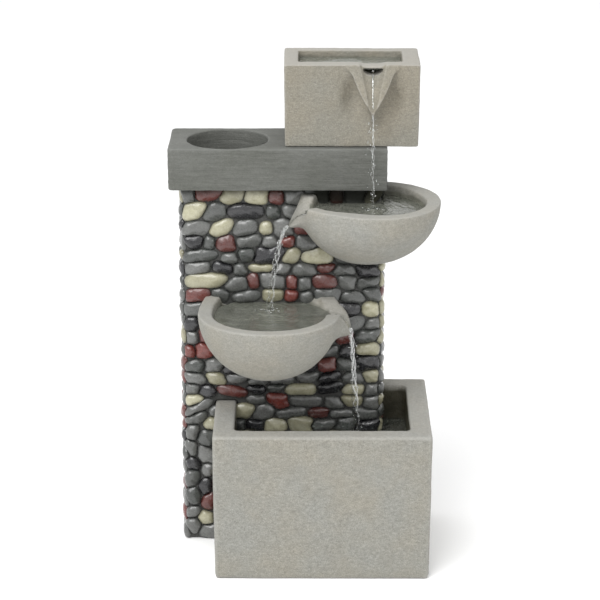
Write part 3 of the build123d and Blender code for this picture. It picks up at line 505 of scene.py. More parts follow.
# The forms below are in millimetres.
WALL_Y, POOL_BACK_Y = 38.5, 31.0        # the column's face, and the pools' rear walls
LOWER_AT, LOWER_RIM, LOWER_SHELF = (-49.0, -36.0), 378.0, 350
LOWER_BILL = [
    (4, -62, 34, 378, 334), (16, -64, 34, 379, 334), (28, -62, 34, 379.5, 334), (40, -56, 33, 379, 334.5),
    (48, -50, 30, 377.5, 335), (55, -43, 25, 373.5, 335.5), (61, -36, 17, 366.5, 336),
    (65, -30, 7, 357, 337.5), (67.5, -26, -7, 349, 339), (68.5, -24, -13, 345, 341),
]
LOWER_DISH = [
    (8, -14, 26, 365.5, 11), (30, -13, 27, 366.2, 11), (40, -12, 26, 366, 9.5), (48, -12, 23, 364.5, 8.5),
    (55, -13, 19, 361, 7.5), (61, -15, 14, 354, 6), (65, -18, 10, 347, 4.5), (70, -20, 7, 339, 3),
]


def lower_form(x, y, z):
    """The lower bowl: a half egg against the wall, its sides drawn in towards the back."""
    dx, dz = x - LOWER_AT[0], z - LOWER_RIM
    back = np.clip((y - LOWER_AT[1]) / 74, 0, 1)
    round_y = np.minimum(y - LOWER_AT[1], 0)
    outer = egg(dx * (1 + 0.085 * back**2), round_y, dz, (100.5, 101.4, 97), 2.1)
    body = blend_max(blend_min(outer, bill(x, y, z, LOWER_BILL), 9), z - LOWER_RIM, 3)
    cavity = egg(dx * (1 + 0.14 * back**2), round_y, dz, (79.5, 81, 60), 2.1)
    # Towards the spout the pool's floor climbs to a shelf.
    shelf = LOWER_SHELF + 0.7 * np.maximum(0.75 * (x + 5) + 0.66 * (y - 5), 0)
    shelf = np.where(shelf > LOWER_SHELF, (shelf - z) * 0.8, -20)
    cavity = trim(cavity, (shelf, 5), (blend_min(y - POOL_BACK_Y, 365.5 - z, 2), 2))
    body = trim(body, (-cavity, 4.5), (-dish(x, y, z, LOWER_DISH), 7))
    return np.maximum(body, y - WALL_Y)


UPPER_AT, UPPER_RIM = (91.0, 4.0), 531.0
CORNER_X = 111.5        # the column's right face, which the bowl wraps round
UPPER_BILL = [
    (-25.5, -7, 5, 500, 493), (-23, -11, 8, 504, 492), (-20, -14, 13, 509, 491.5), (-15, -21, 22, 518.5, 492),
    (-8, -28, 32, 530, 493), (-0.5, -34, 38, 537, 493.5), (8, -39, 40, 538, 494.5), (18, -41, 40, 538, 497),
    (30, -40, 40, 536, 502),
]
UPPER_DISH = [
    (-28, -8, 13, 486.5, 1), (-23, -11, 18, 494.0, 1), (-19, -15, 25, 499.6, 2), (-14, -19, 31, 505.2, 3),
    (-8, -19, 34, 510.8, 6), (-1, -16, 30, 513.8, 10), (8, -11, 23, 515, 13), (20, -9, 21, 515.3, 14),
    (30, -8, 20, 515, 14),
]


def upper_form(x, y, z):
    """The upper bowl: an egg round the column's corner, with its front flattened by the spout."""
    dx, dy, dz = x - UPPER_AT[0], y - UPPER_AT[1], z - UPPER_RIM
    front = dy < 0
    flatter = 0.12 * np.exp(-(((x - 28) / 42) ** 2)) * np.clip(1 + dz / 60, 0, 1)
    outer = egg(dx, np.where(front, dy / (1 - flatter), dy), dz, (101, 101, 91), 2.15)
    body = blend_max(blend_min(outer, bill(x, y, z, UPPER_BILL, 2.15), 8), z - UPPER_RIM, 3)
    to_wall = np.clip(dy / 34, 0, 1)
    inner_y = np.where(front, dy / (1 - 0.16 * np.exp(-(((x - 58) / 42) ** 2))), dy)
    cavity = egg(dx * (1 + 0.07 * to_wall), inner_y, dz, (80, 80.5, 58), 2.2)
    kept = np.maximum(x - 122, POOL_BACK_Y - y)
    cavity = blend_max(cavity, blend_min(-kept, 514.5 - z, 2), 2)
    body = trim(body, (-cavity, 4.5), (-dish(x, y, z, UPPER_DISH), 8))
    behind = np.maximum(x - CORNER_X, WALL_Y - y)
    return np.maximum(body, -behind)


BOX_LEFT, BOX_RIGHT, BOX_UNDER, BOX_TOP, BOX_BACK_Y = -28.5, 162, 601.5, 720, 138
BEAK_X, BEAK_FACE_Y, BEAK_TIP_Y = 95.5, 23.0, -4.0
POOL_LEFT, POOL_RIGHT, POOL_FRONT_Y, POOL_REAR_Y, POOL_FLOOR = -8, 137, 47, 119, 613.5
DENTS_X, SLOT_Z = (67, 124), 713        # the dents beside the beak, and the slot behind it
DRAIN_X, DRAIN_Y, DRAIN_RADIUS = 60, 86, 10


def box_form(x, y, z):
    """The reservoir: a slightly tapered box with its front wall pinched out to a beak."""
    rise = (z - BOX_UNDER) / (BOX_TOP - BOX_UNDER)
    dent = sum(10 * np.exp(-(((x - at) / 13) ** 2) - ((z - 671) / 26) ** 2) for at in DENTS_X)
    face = BEAK_FACE_Y - 0.8 * rise + dent
    body = blend_max(BOX_LEFT + 1.2 * (1 - rise) - x, x - BOX_RIGHT + 2.0 * (1 - rise), 4)
    body = trim(body, (face - y, 3.5), (y - BOX_BACK_Y, 3.5), (z - BOX_TOP, 3), (BOX_UNDER - z, 2))
    # The beak's lips run down and out from the rim to the tip.
    out = np.clip((BEAK_FACE_Y - y) / (BEAK_FACE_Y - BEAK_TIP_Y), -0.6, 1.2)
    lip = 718.5 - 53.5 * out
    under = 634 + 20 * out
    wide = 36 - 20 * out - 5 * np.maximum(out, 0) ** 3
    share = np.clip((z - under) / (lip - under), 0, 1)
    flank = np.abs(x - BEAK_X) - (2.5 + (wide - 2.5) * share**1.7)
    beak = blend_max(flank * 0.8, z - lip, 8)
    beak = trim(beak, (BEAK_TIP_Y - 0.5 - y, 3), (y - 34, 3), (under - z, 3))
    body = blend_min(body, beak, 8)
    body = blend_max(body, z - (BOX_TOP - 0.4), 2)
    # The channel between the lips, the sagging rim above it and the slot behind it.
    half = np.clip(18.5 - 13 * out, 4.5, 19.5)
    deep = np.clip(16 - 9 * out, 6.5, 16.5)
    channel = lip - deep + (deep + 1.5) * (np.abs(x - BEAK_X) / half) ** 2.6 - z
    channel = np.maximum(channel * 0.7, np.maximum(y - 24, -8 - y))
    sag = 716.8 + 4 * ((x - BEAK_X) / 20) ** 4 - z
    sag = np.maximum(sag, np.maximum(np.abs(x - BEAK_X) - 24, y - 60))
    slot = (np.hypot((x - BEAK_X) / 14, (z - SLOT_Z) / 9.5) - 1) * 9
    slot = np.maximum(blend_max(slot, z - SLOT_Z, 2), np.maximum(y - 52, 14 - y))
    body = trim(body, (-channel, 3.5), (-sag, 2), (-slot, 1.5))
    pool_side = blend_max(POOL_LEFT - x, x - POOL_RIGHT, 5)
    pool_end = blend_max(POOL_FRONT_Y - y, y - POOL_REAR_Y, 5)
    cavity = trim(pool_side, (pool_end, 5), (POOL_FLOOR - z, 5))
    body = blend_max(body, -cavity, 3)
    drain = np.hypot(x - DRAIN_X, y - DRAIN_Y) - DRAIN_RADIUS
    return np.maximum(body, -np.maximum(drain, z - 620))


# ---------------------------- castings
def dress(piece, for_nodes, swell, material, body):
    """Gives a casting its unevenness, in (cell, height) layers, and its look, attaches it to its body and
    hides the CAD nodes it stands for.
    """
    mesh = piece.data
    co, normal = mesh_arrays(mesh), mesh_arrays(mesh, "normal")
    height = np.zeros(len(co))
    for seed, (cell, size) in enumerate(swell):
        height += size * (wavy(co, cell, 17 * seed + len(piece.name), 2) - 0.6)
    mesh.vertices.foreach_set("co", (co + normal * height[:, None]).astype(np.float32).ravel())
    mesh.update()
    mesh.shade_smooth()
    mesh.materials.clear()
    mesh.materials.append(material)
    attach(piece, body)
    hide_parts(*for_nodes)
    return piece


def carved(name, node, shape, low, high, step, material):
    """A casting sculpted from a form, in the box from low to high."""
    verts, faces = sculpt(low, high, step, shape)
    return dress(new_object(name, verts, faces), [node], ROUGH_CAST, material, "root")


def casting(name, from_nodes, voxel, steps, swell, material, body="root"):
    """A casting made from CAD nodes, with soft worn edges."""
    meshes = [nodes[node].data for node in from_nodes]
    piece = new_object(name, *gather([(mesh_arrays(m), triangles_of(m).tolist()) for m in meshes]))
    skin = piece.modifiers.new("skin", "REMESH")
    skin.mode = "VOXEL"
    skin.voxel_size = voxel
    skin.use_smooth_shade = True
    worn = piece.modifiers.new("worn", "SMOOTH")
    worn.factor = 0.5
    worn.iterations = steps
    ready = piece.evaluated_get(bpy.context.evaluated_depsgraph_get())
    mesh = bpy.data.meshes.new_from_object(ready)
    rough_mesh = piece.data
    piece.modifiers.clear()
    piece.data = mesh
    bpy.data.meshes.remove(rough_mesh)
    mesh.name = name
    return dress(piece, from_nodes, swell, material, body)


ROUGH_CAST = [(0.055, 0.00035), (0.009, 0.00016), (0.0035, 0.0001)]
BRUSHED = [(0.07, 0.0004), ((0.05, 0.012, 0.004), 0.00035), (0.006, 0.00012)]
TROWELLED = [(0.02, 0.0005), (0.006, 0.0004)]
MOULDED = [(0.03, 0.0001), (0.006, 0.0001)]
COLUMN_NODES = ["column_front", "column_left", "column_right", "column_rear"]
basin = casting("basin", ["basin_shell"], 0.0032, 3, ROUGH_CAST, mat_beige)
reservoir = carved("reservoir", "top_reservoir", box_form, (-31, -9, 598), (165, 141, 723), 1.5, mat_box)
upper = carved("bowl_upper", "upper_bowl", upper_form, (-29, -100, 436), (195, 108, 534), 1.6, mat_bowl)
lower = carved("bowl_lower", "lower_bowl", lower_form, (-153, -143, 277), (70, 42, 381), 1.6, mat_bowl)
casting("slab", ["cap_slab"], 0.002, 5, BRUSHED, mat_slab)
casting("column_core", COLUMN_NODES, 0.0028, 3, TROWELLED, mat_mortar)
casting("door_panel", ["rear_door"], 0.0016, 2, MOULDED, mat_door, "door")


# ---------------------------- pebbles
def islands(mesh):
    """Box of each loose part of a mesh."""
    co, tris = mesh_arrays(mesh), triangles_of(mesh)
    spots = np.round(co * 2e5).astype(np.int64)
    _, first, same = np.unique(spots, axis=0, return_index=True, return_inverse=True)
    tris = same.ravel()[tris]
    label = np.arange(len(first))
    while True:
        lowest = label[tris].min(axis=1)
        fresh = label.copy()
        for k in range(3):
            np.minimum.at(fresh, tris[:, k], lowest)
        fresh = fresh[fresh]
        if (fresh == label).all():
            break
        label = fresh
    points = co[first]
    for group in np.unique(label):
        inside = points[label == group]
        yield inside.min(axis=0), inside.max(axis=0)


BASIN_LEFT, BASIN_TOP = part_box("basin_shell")[0][0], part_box("basin_shell")[1][2]
BASIN_WALL = 0.031
core_low = np.min([np.array(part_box(n)[0]) for n in COLUMN_NODES], axis=0)
core_high = np.max([np.array(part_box(n)[1]) for n in COLUMN_NODES], axis=0)
X0, X1, Y0, Y1, Z1 = core_low[0], core_high[0], core_low[1], core_high[1], core_high[2]
CORNER = 0.006       # rounding of the column's front corners
SIDE = Y1 - Y0


def on_face(s, z, h):
    """Point at unrolled distance s round the column, height z and h out of its face."""
    width = X1 - X0
    front = (s >= CORNER) & (s <= width - CORNER)
    x, y = np.where(front, X0 + s, 0), np.where(front, Y0 - h, 0)
    for sign, edge, start in ((-1, X0, 0.0), (1, X1, width)):
        along = sign * (s - start)
        bend = (along > -CORNER) & (along < CORNER)
        angle = (along + CORNER) / (2 * CORNER) * math.pi / 2
        x = np.where(bend, edge - sign * CORNER + sign * np.sin(angle) * (CORNER + h), x)
        y = np.where(bend, Y0 + CORNER - np.cos(angle) * (CORNER + h), y)
        side = along >= CORNER
        x, y = np.where(side, edge + sign * h, x), np.where(side, Y0 + along, y)
    return np.stack([x, y, z], axis=-1)


# The CAD stones give each place, as (s, z, half width, half height, node).
rng = np.random.default_rng(7)
stones = []
for node in PEBBLE_LOOKS:
    for low, high in islands(nodes[node].data):
        middle, half = (low + high) / 2, (high - low) / 2
        if low[1] < Y0 - 0.002:
            centre, wide = middle[0] - X0, half[0]
        elif middle[0] < X0:
            centre, wide = -(middle[1] - Y0), half[1]
        else:
            centre, wide = X1 - X0 + middle[1] - Y0, half[1]
        stones.append((centre, middle[2], wide, half[2], node))
stones.sort(key=lambda t: (round(-t[1], 4), t[0]))
# The stones of the low courses also run in behind the basin's left wall.
wall_low, wall_high = BASIN_LEFT - X0, BASIN_LEFT + BASIN_WALL - X0
beside = [t for t in stones if 0 < t[0] < wall_low and t[1] < BASIN_TOP]
for z, half_z in sorted({round(t[1], 4): t[3] for t in beside}.items()):
    for at, sign in ((wall_low, 1), (wall_high, -1)):
        course = [t for t in stones if abs(t[1] - z) < half_z]
        row = [t for t in course if abs(t[0] - at) < 0.06 and (t[0] - at) * sign < 0]
        edges = [t[0] + sign * t[2] for t in row]
        start = (max(edges) if sign > 0 else min(edges)) if edges else at - sign * 0.016
        stop = at + sign * 0.008
        if (stop - start) * sign > 0.006 and z > 0.03:
            kind = rng.choice(["pebbles_grey", "pebbles_grey", "pebbles_red", "pebbles_cream"])
            stones.append(((start + stop) / 2, z, abs(stop - start) / 2, half_z, str(kind)))
# Each stone is then pushed, resized and leaned at random.
centres = np.array([[t[0], t[1]] for t in stones])
halves = np.array([[t[2], t[3]] for t in stones])
count = len(stones)
centres += rng.uniform(-1, 1, (count, 2)) * halves * (0.2, 0.36)
halves = halves * np.exp(rng.normal(0, 1, (count, 2)) * (0.2, 0.17)) * (1.06, 0.95)
leans = rng.normal(0, 0.26, count) * np.clip(1.6 * halves[:, 1] / halves[:, 0], 0.3, 1)
# The narrow strip beside the basin is laid in a broken bond, not in even courses.
strip = (centres[:, 0] > 0) & (centres[:, 0] < wall_low) & (centres[:, 1] < BASIN_TOP)
outer_row = strip & (centres[:, 0] < 0.5 * wall_low)
loose = np.random.default_rng(21)
centres[:, 1] += np.where(outer_row, 0.9, 0.0) * halves[:, 1]
centres += strip[:, None] * loose.uniform(-1, 1, (count, 2)) * halves * (0.3, 0.3)
leans += strip * loose.normal(0, 0.35, count)
GROW, GAP = 1.5, 0.0004        # how far a stone may outgrow its place, and the joint beside it
POWER = 2.05                   # over 2 squares the stones a little
DIRECTIONS, RINGS = 36, 9
RISE, ROOT = 0.0074, -0.0025   # a stone's highest point, and how deep it goes into the mortar


def reach(i, points):
    """How far points are from stone i, as a share of its own outline."""
    d = points - centres[i]
    c, s = math.cos(leans[i]), math.sin(leans[i])
    u = (d[..., 0] * c + d[..., 1] * s) / halves[i, 0]
    v = (-d[..., 0] * s + d[..., 1] * c) / halves[i, 1]
    return (np.abs(u) ** POWER + np.abs(v) ** POWER) ** (1 / POWER)


def outline(i):
    """Radius of stone i in each direction: it fills its place up to its neighbours."""
    angle = directions(DIRECTIONS)
    ray = np.stack([np.cos(angle), np.sin(angle)], axis=1)
    own = 1 / reach(i, centres[i] + ray)
    share = np.linspace(0.35, GROW, 40)
    radii = own[:, None] * share
    points = centres[i] + ray[:, None, :] * radii[..., None]
    near = np.nonzero((np.abs(centres - centres[i]) < (0.09, 0.06)).all(axis=1))[0]
    mine = reach(i, points)
    clear = np.ones(radii.shape, bool)
    for j in near:
        if j != i:
            clear &= mine < reach(j, points)
    last = np.where(clear.all(axis=1), len(share) - 1, np.argmin(clear, axis=1) - 1)
    radius = own * share[np.clip(last, 0, None)] - GAP
    for _ in range(2):
        radius = (np.roll(radius, 1) + 2 * radius + np.roll(radius, -1)) / 4
    bumps = rng.uniform(-1, 1, 4)
    for k in range(2):
        radius *= 1 + 0.025 * bumps[k] * np.sin((k + 2) * angle + 3 * bumps[k + 2])
    return angle, np.maximum(radius, 0.002)


def stone_mesh(i):
    """A domed pebble, set into the mortar by its lower edge."""
    angle, radius = outline(i)
    rise = RISE * rng.uniform(0.7, 1.0)
    tilt = rng.normal(0, 0.09, 2)
    wave = rng.uniform(0, 6.28, 3)
    shares = np.sin(np.linspace(0, math.pi / 2, RINGS))
    rows = []        # each ring of points: (u, v, height, share of the way to the edge)
    for t in shares:
        u, v = np.cos(angle) * radius * t, np.sin(angle) * radius * t
        h = rise * max(1 - t**2.15, 0.0) ** 0.6
        bump = 1 + 0.07 * np.sin(190 * u + wave[0]) * np.cos(210 * v + wave[1])
        bump += 0.04 * np.sin(420 * (u + v) + wave[2])
        h = h * bump + (tilt[0] * u + tilt[1] * v) * (1 - t**4)
        rows.append((u, v, np.clip(h, -0.002, RISE), np.full(DIRECTIONS, t)))
    u, v = np.cos(angle) * radius * 0.95, np.sin(angle) * radius * 0.95
    rows.append((u, v, np.full(DIRECTIONS, ROOT), np.ones(DIRECTIONS)))
    u, v, h, edge = (np.concatenate(column) for column in zip(*rows[1:]))
    crown = rows[0][2][0]
    s = centres[i, 0] + np.append(u, [0, 0])
    z = centres[i, 1] + np.append(v, [0, 0])
    h = np.append(h, [crown, ROOT])
    edge = np.append(edge, [0, 1])
    # No stone goes past the column's back, its foot or its top.
    back = SIDE - 0.0008
    s = np.clip(s, -back, X1 - X0 + back)
    z = np.clip(z, 0.0008, Z1 - 0.0005)
    verts = on_face(s, z, h)
    top, bottom = len(s) - 2, len(s) - 1
    faces = []
    for k in range(DIRECTIONS):
        n = (k + 1) % DIRECTIONS
        faces += [[top, k, n]] + band(k, n, DIRECTIONS, RINGS)
        last = (RINGS - 1) * DIRECTIONS
        faces.append([bottom, last + n, last + k])
    return verts, faces, edge, np.full(len(s), rng.uniform(0, 1))


made = {node: [] for node in PEBBLE_LOOKS}
for i in range(count):
    made[stones[i][4]].append(stone_mesh(i))
for node, group in made.items():
    verts, faces = gather([(g[0], g[1]) for g in group])
    piece = new_object(node.replace("pebbles", "stones"), verts, faces)
    add_float(piece.data, "edge", np.concatenate([g[2] for g in group]))
    add_float(piece.data, "tone", np.concatenate([g[3] for g in group]))
    # Painted shade: behind the upper pool and under the slab the stones are painted nearly black and lose
    # their gloss, standing in for the shadow there.
    out_of_light = smoothstep(0.505, 0.524, verts[:, 2]) * smoothstep(0.004, 0.016, verts[:, 0])
    at_top = smoothstep(Z1 - 0.014, Z1 - 0.002, verts[:, 2])
    add_float(piece.data, "damp", np.maximum(0.93 * out_of_light, 0.7 * at_top))
    slot = node.replace("pebbles", "pebble")
    piece.data.materials.append(pebble(slot, *PEBBLE_LOOKS[node]))
    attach(piece, "root")
    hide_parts(node)


# ---------------------------- wet skins
LIP_WET = 0.3          # share of the wet colour under a thin film
BASIN_TIDE = 0.207     # how high spray keeps the basin's walls wet


def mark_wet(piece, inside, level, streams):
    """Marks where a casting is wet: inside its pool and along the water's path over its lip."""
    co, normal = mesh_arrays(piece.data), mesh_arrays(piece.data, "normal")
    edge = 0.0015 * wavy(co, 0.012, 5, 2)
    under = smoothstep(level + 0.004, level - 0.001, co[:, 2] + edge)
    wet = under * inside(co) * smoothstep(-0.35, 0.0, normal[:, 2] + 0.3)
    for path, width in streams:
        path = np.array(path)
        for a, b in zip(path[:-1], path[1:]):
            along = b - a
            t = np.clip(((co - a) @ along) / (along @ along), 0, 1)
            gap = np.linalg.norm(co - (a + t[:, None] * along), axis=1)
            wet = np.maximum(wet, LIP_WET * smoothstep(width, width * 0.3, gap + 2 * edge))
    add_float(piece.data, "wet", wet)


def within(low, high):
    """A pool with straight walls: the box from low to high."""
    return lambda co: ((co > low) & (co < high)).all(axis=1)


def in_circle(centre, radius, back):
    """A bowl's pool: round at the front, and as wide as its circle back to the wall."""
    def test(co):
        d = np.hypot(co[:, 0] - centre[0], co[:, 1] - centre[1])
        behind = (co[:, 1] > centre[1]) & (co[:, 1] < back)
        return (d < radius) | ((np.abs(co[:, 0] - centre[0]) < radius) & behind)
    return test


def floor_line(tree, points, lift):
    """Points dropped on to a casting along Z, then lifted off it; those past its end are left out."""
    line = []
    for x, y, z in points:
        hit = tree.ray_cast(Vector((x, y, z)), Vector((0, 0, -1)))[0]
        if hit and z - hit.z < 0.09:
            line.append((x, y, hit.z + lift))
    return line


UPPER_LEVEL, LOWER_LEVEL, BOX_LEVEL, BASIN_LEVEL = 0.5172, 0.3680, 0.7095, 0.165
BASIN_INSIDE = (-0.0995, -0.0795), (0.1515, 0.1085)
# The water's way over each spout: plan points, from its pool to its tip.
BEAK_WAY = (0.018, 0.013, 0.008, 0.003, -0.0005, -0.003)
UPPER_WAY = [
    (22, -9), (12, -10), (4, -10.5), (-3, -10.5), (-9, -9.5), (-14, -8), (-18, -6), (-21, -4.5), (-23.5, -3.5)
]
LOWER_WAY = [(22, -14), (32, -13), (41, -12), (49, -12), (55, -13), (60, -15), (64, -17.5), (67, -19)]
upper_tree, lower_tree, box_tree = tree_of(upper), tree_of(lower), tree_of(reservoir)
beak_line = [(0.0955, y, 0.7075) for y in (0.049, 0.036, 0.025)]
beak_line += floor_line(box_tree, [(0.0955, y, 0.7175) for y in BEAK_WAY], 0.0005)
upper_line = floor_line(upper_tree, [(x * MM, y * MM, 0.56) for x, y in UPPER_WAY], 0.0003)
lower_line = floor_line(lower_tree, [(x * MM, y * MM, 0.41) for x, y in LOWER_WAY], 0.0003)
mark_wet(upper, in_circle((0.091, 0.004), 0.0835, 0.034), UPPER_LEVEL + 0.004, [(upper_line, 0.011)])
mark_wet(lower, in_circle((-0.049, -0.036), 0.0845, 0.034), LOWER_LEVEL, [(lower_line, 0.013)])
mark_wet(basin, within((*BASIN_INSIDE[0], 0.0), (*BASIN_INSIDE[1], 0.3)), BASIN_TIDE, [])
mark_wet(reservoir, within((-0.0085, 0.0465, 0.6), (0.1375, 0.1195, 0.72)), BOX_LEVEL, [(beak_line, 0.0085)])


# ---------------------------- water
mat_water = water("pool_water", (0.86, 0.9, 0.87, 1), 0.06, 0.97, murk=0.7)
mat_stream = water("stream_water", (0.94, 0.955, 0.95, 1), 0.03, 0.9)
mat_basin_water = water("basin_water", (0.72, 0.78, 0.75, 1), 0.05, 0.95, murk=0.35)


def pool_outline(tree, centre, level, cap, turns=128):
    """Where the pool meets its walls, found by looking outwards from its middle."""
    rim = []
    for k in range(turns):
        a = 2 * math.pi * k / turns
        way = Vector((math.cos(a), math.sin(a), 0))
        hit = tree.ray_cast(Vector((centre[0], centre[1], level)), way)
        far = hit[3] if hit[0] is not None else cap
        rim.append(min(far, cap) + 0.0015)
    return np.array(rim)


def ripple_height(x, y, landing, seed):
    """A light chop, with rings and a low mound where the stream lands, at (x, y, size)."""
    points = np.stack([x, y, np.zeros(len(x))], axis=1)
    h = 0.00035 * wavy(points, (0.022, 0.012, 1), seed, 2)
    px, py, size = landing
    d = np.hypot(x - px, y - py)
    h += size * np.exp(-d / 0.028) * np.sin(2 * math.pi * d / 0.0095) * smoothstep(0.0, 0.006, d)
    h += size * 1.2 * np.exp(-((d / 0.006) ** 2))
    return h


def pool(name, centre, rim, level, landing, material, rings=44, depth=0.003):
    """A closed sheet of water that fills an outline given as a radius for each direction."""
    turns = len(rim)
    angle = directions(turns)
    rows = np.linspace(0, 1, rings + 1)[1:]
    x = (centre[0] + rows[:, None] * (rim * np.cos(angle))[None]).ravel()
    y = (centre[1] + rows[:, None] * (rim * np.sin(angle))[None]).ravel()
    x, y = np.append(x, centre[0]), np.append(y, centre[1])
    z = level + ripple_height(x, y, landing, len(name))
    top = np.stack([x, y, z], axis=1)
    rim_at = (rings - 1) * turns
    low = top[rim_at : rim_at + turns].copy()
    low[:, 2] = level - depth
    verts = np.concatenate([top, low, [[centre[0], centre[1], level - depth]]])
    hub, base, bottom = rings * turns, rings * turns + 1, len(verts) - 1
    faces = []
    for k in range(turns):
        n = (k + 1) % turns
        faces += [[hub, k, n]] + band(k, n, turns, rings)
        faces.append([rim_at + k, base + k, base + n, rim_at + n])
        faces.append([bottom, base + n, base + k])
    piece = new_object(name, verts, faces, material)
    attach(piece, "root")


def box_rim(low, high, centre, turns=160):
    """Radius in each direction of a rectangle seen from centre."""
    angle = directions(turns)
    c, s = np.cos(angle), np.sin(angle)
    c, s = np.where(np.abs(c) < 1e-9, 1e-9, c), np.where(np.abs(s) < 1e-9, 1e-9, s)
    to_x = np.where(c > 0, high[0] - centre[0], low[0] - centre[0]) / c
    to_y = np.where(s > 0, high[1] - centre[1], low[1] - centre[1]) / s
    return np.minimum(to_x, to_y)


UPPER_MID, LOWER_MID, BOX_MID, BASIN_MID = (0.091, 0.0), (-0.049, -0.036), (0.06, 0.083), (0.026, 0.0)
TOP_LANDS, UPPER_LANDS, LOWER_LANDS = (0.0965, 0.0), (-0.050, 0.001), (0.0755, -0.022)
upper_rim = pool_outline(upper_tree, UPPER_MID, UPPER_LEVEL, 0.088)
lower_rim = pool_outline(lower_tree, LOWER_MID, LOWER_LEVEL, 0.088)
reservoir_rim = box_rim((-0.0095, 0.0455), (0.1385, 0.1205), BOX_MID)
basin_rim = box_rim(*BASIN_INSIDE, BASIN_MID)
pool("pool_upper", UPPER_MID, upper_rim, UPPER_LEVEL, (*TOP_LANDS, 0.0011), mat_water)
pool("pool_lower", LOWER_MID, lower_rim, LOWER_LEVEL, (*UPPER_LANDS, 0.0011), mat_water)
pool("pool_reservoir", BOX_MID, reservoir_rim, BOX_LEVEL, (0.06, 0.086, 0.0009), mat_water)
pool("pool_basin", BASIN_MID, basin_rim, BASIN_LEVEL, (*LOWER_LANDS, 0.0012), mat_basin_water)


def tube(path, half_width, half_depth, side, sides=12):
    """A closed tube of elliptical section along a path; side is the direction of its width."""
    path = np.asarray(path, float)
    n = len(path)
    ahead = np.gradient(path, axis=0)
    ahead /= np.linalg.norm(ahead, axis=1)[:, None]
    side = np.broadcast_to(np.asarray(side, float), (n, 3))
    side = side - (side * ahead).sum(axis=1)[:, None] * ahead
    side /= np.linalg.norm(side, axis=1)[:, None]
    deep = np.cross(ahead, side)
    verts = []
    for k in range(sides):
        a = 2 * math.pi * k / sides
        across, through = half_width * math.cos(a), half_depth * math.sin(a)
        verts.append(path + side * across[:, None] + deep * through[:, None])
    verts = np.stack(verts, axis=1).reshape(-1, 3)
    verts = np.concatenate([verts, path[:1], path[-1:]])
    faces = []
    for k in range(sides):
        m = (k + 1) % sides
        faces += band(k, m, sides, n)
        faces.append([n * sides, k, m])
        faces.append([n * sides + 1, (n - 1) * sides + m, (n - 1) * sides + k])
    return verts, faces


def bead(centre, radius, stretch=1.0, turns=10, rows=6):
    """A small drop or bubble."""
    verts = [[0, 0, stretch]]
    for r in range(1, rows):
        p = math.pi * r / rows
        for k in range(turns):
            a = 2 * math.pi * k / turns
            verts.append([math.sin(p) * math.cos(a), math.sin(p) * math.sin(a), stretch * math.cos(p)])
    verts.append([0, 0, -stretch])
    faces = []
    for k in range(turns):
        n = (k + 1) % turns
        faces += [[0, 1 + k, 1 + n]] + band(k, n, turns, rows - 1, 1)
        faces.append([len(verts) - 1, 1 + (rows - 2) * turns + n, 1 + (rows - 2) * turns + k])
    return np.array(verts) * radius + np.array(centre), faces


def fall(start, end, steps, throw=0.5):
    """A falling path: it moves sideways evenly in time while it drops faster and faster."""
    drop = np.linspace(0, 1, steps) ** 1.35
    side = drop**throw
    start, end = np.array(start), np.array(end)
    path = start + (end - start) * side[:, None]
    path[:, 2] = start[2] + (end[2] - start[2]) * drop
    return path


def stream(name, lip, end, film, strands, twist, drops, foam, seed, side=(1, 0, 0), throw=0.5):
    """Water over a lip and down: a film on the spout, twisted strands, loose drops, and foam below.

    film is its half width at the pool and at the fall, and its half depth; a strand is (radius, sway).
    """
    dice = np.random.default_rng(seed)
    lip = np.array(lip)
    parts = []
    start = lip[-1]
    path = fall(start, end, 90, throw)
    s = np.linspace(0, 1, 90)
    for k, (radius, offset) in enumerate(strands):
        phase = 2 * math.pi * k / len(strands)
        sway = offset * (0.35 + 0.9 * s) * np.sin(2 * math.pi * twist * s + phase)
        dip = 0.6 * offset * (0.35 + 0.9 * s) * np.cos(2 * math.pi * twist * s + phase)
        line = path.copy()
        line[:, 0] += sway + 0.0006 * np.sin(31 * s + k)
        line[:, 1] += dip
        uneven = 1 + 0.35 * wavy(np.stack([s, s * 0 + k, s * 0], axis=1), 0.05, seed + k, 2)
        width = radius * uneven * (1.25 - 0.45 * s)
        parts.append(tube(line, width, width * 0.75, (1, 0.2, 0)))
    body = np.concatenate([lip, path[1:14]])
    t = np.linspace(0, 1, len(body))
    width = film[0] + (film[1] - film[0]) * smoothstep(0, 0.75, t)
    depth = film[2] * (1 - 0.4 * t)
    parts.append(tube(body, width, depth, side))
    for _ in range(drops):
        at = path[dice.integers(15, 88)]
        push = dice.normal(0, 1, 3) * (0.0032, 0.003, 0.0)
        parts.append(bead(at + push, dice.uniform(0.0004, 0.0011), dice.uniform(1.0, 2.6), 8, 5))
    for _ in range(foam):
        a, d = dice.uniform(0, 6.28), abs(dice.normal(0, 0.0065)) + 0.001
        size = dice.uniform(0.0005, 0.0019)
        at = (end[0] + d * math.cos(a), end[1] + d * math.sin(a), end[2] + size * 0.3)
        parts.append(bead(at, size, 0.8, 8, 5))
    piece = new_object(name, *gather(parts), mat_stream)
    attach(piece, "root")


stream(
    "stream_top", beak_line, (*TOP_LANDS, UPPER_LEVEL), (0.0012, 0.0008, 0.0004),
    strands=[(0.0006, 0.0012), (0.00045, 0.0014)], twist=6.5, drops=64, foam=34, seed=3, throw=0.9,
)
stream(
    "stream_upper", upper_line, (*UPPER_LANDS, LOWER_LEVEL), (0.0036, 0.0030, 0.0004),
    strands=[(0.0013, 0.0034), (0.0011, 0.0034), (0.0008, 0.0042)],
    twist=2.6, drops=40, foam=40, seed=5, side=(0.3, 1, 0),
)
stream(
    "stream_lower", lower_line, (*LOWER_LANDS, BASIN_LEVEL), (0.0075, 0.0038, 0.0004),
    strands=[(0.0014, 0.0036), (0.0011, 0.0036), (0.0008, 0.0042)],
    twist=3.2, drops=50, foam=60, seed=9, side=(0.1, 1, 0),
)


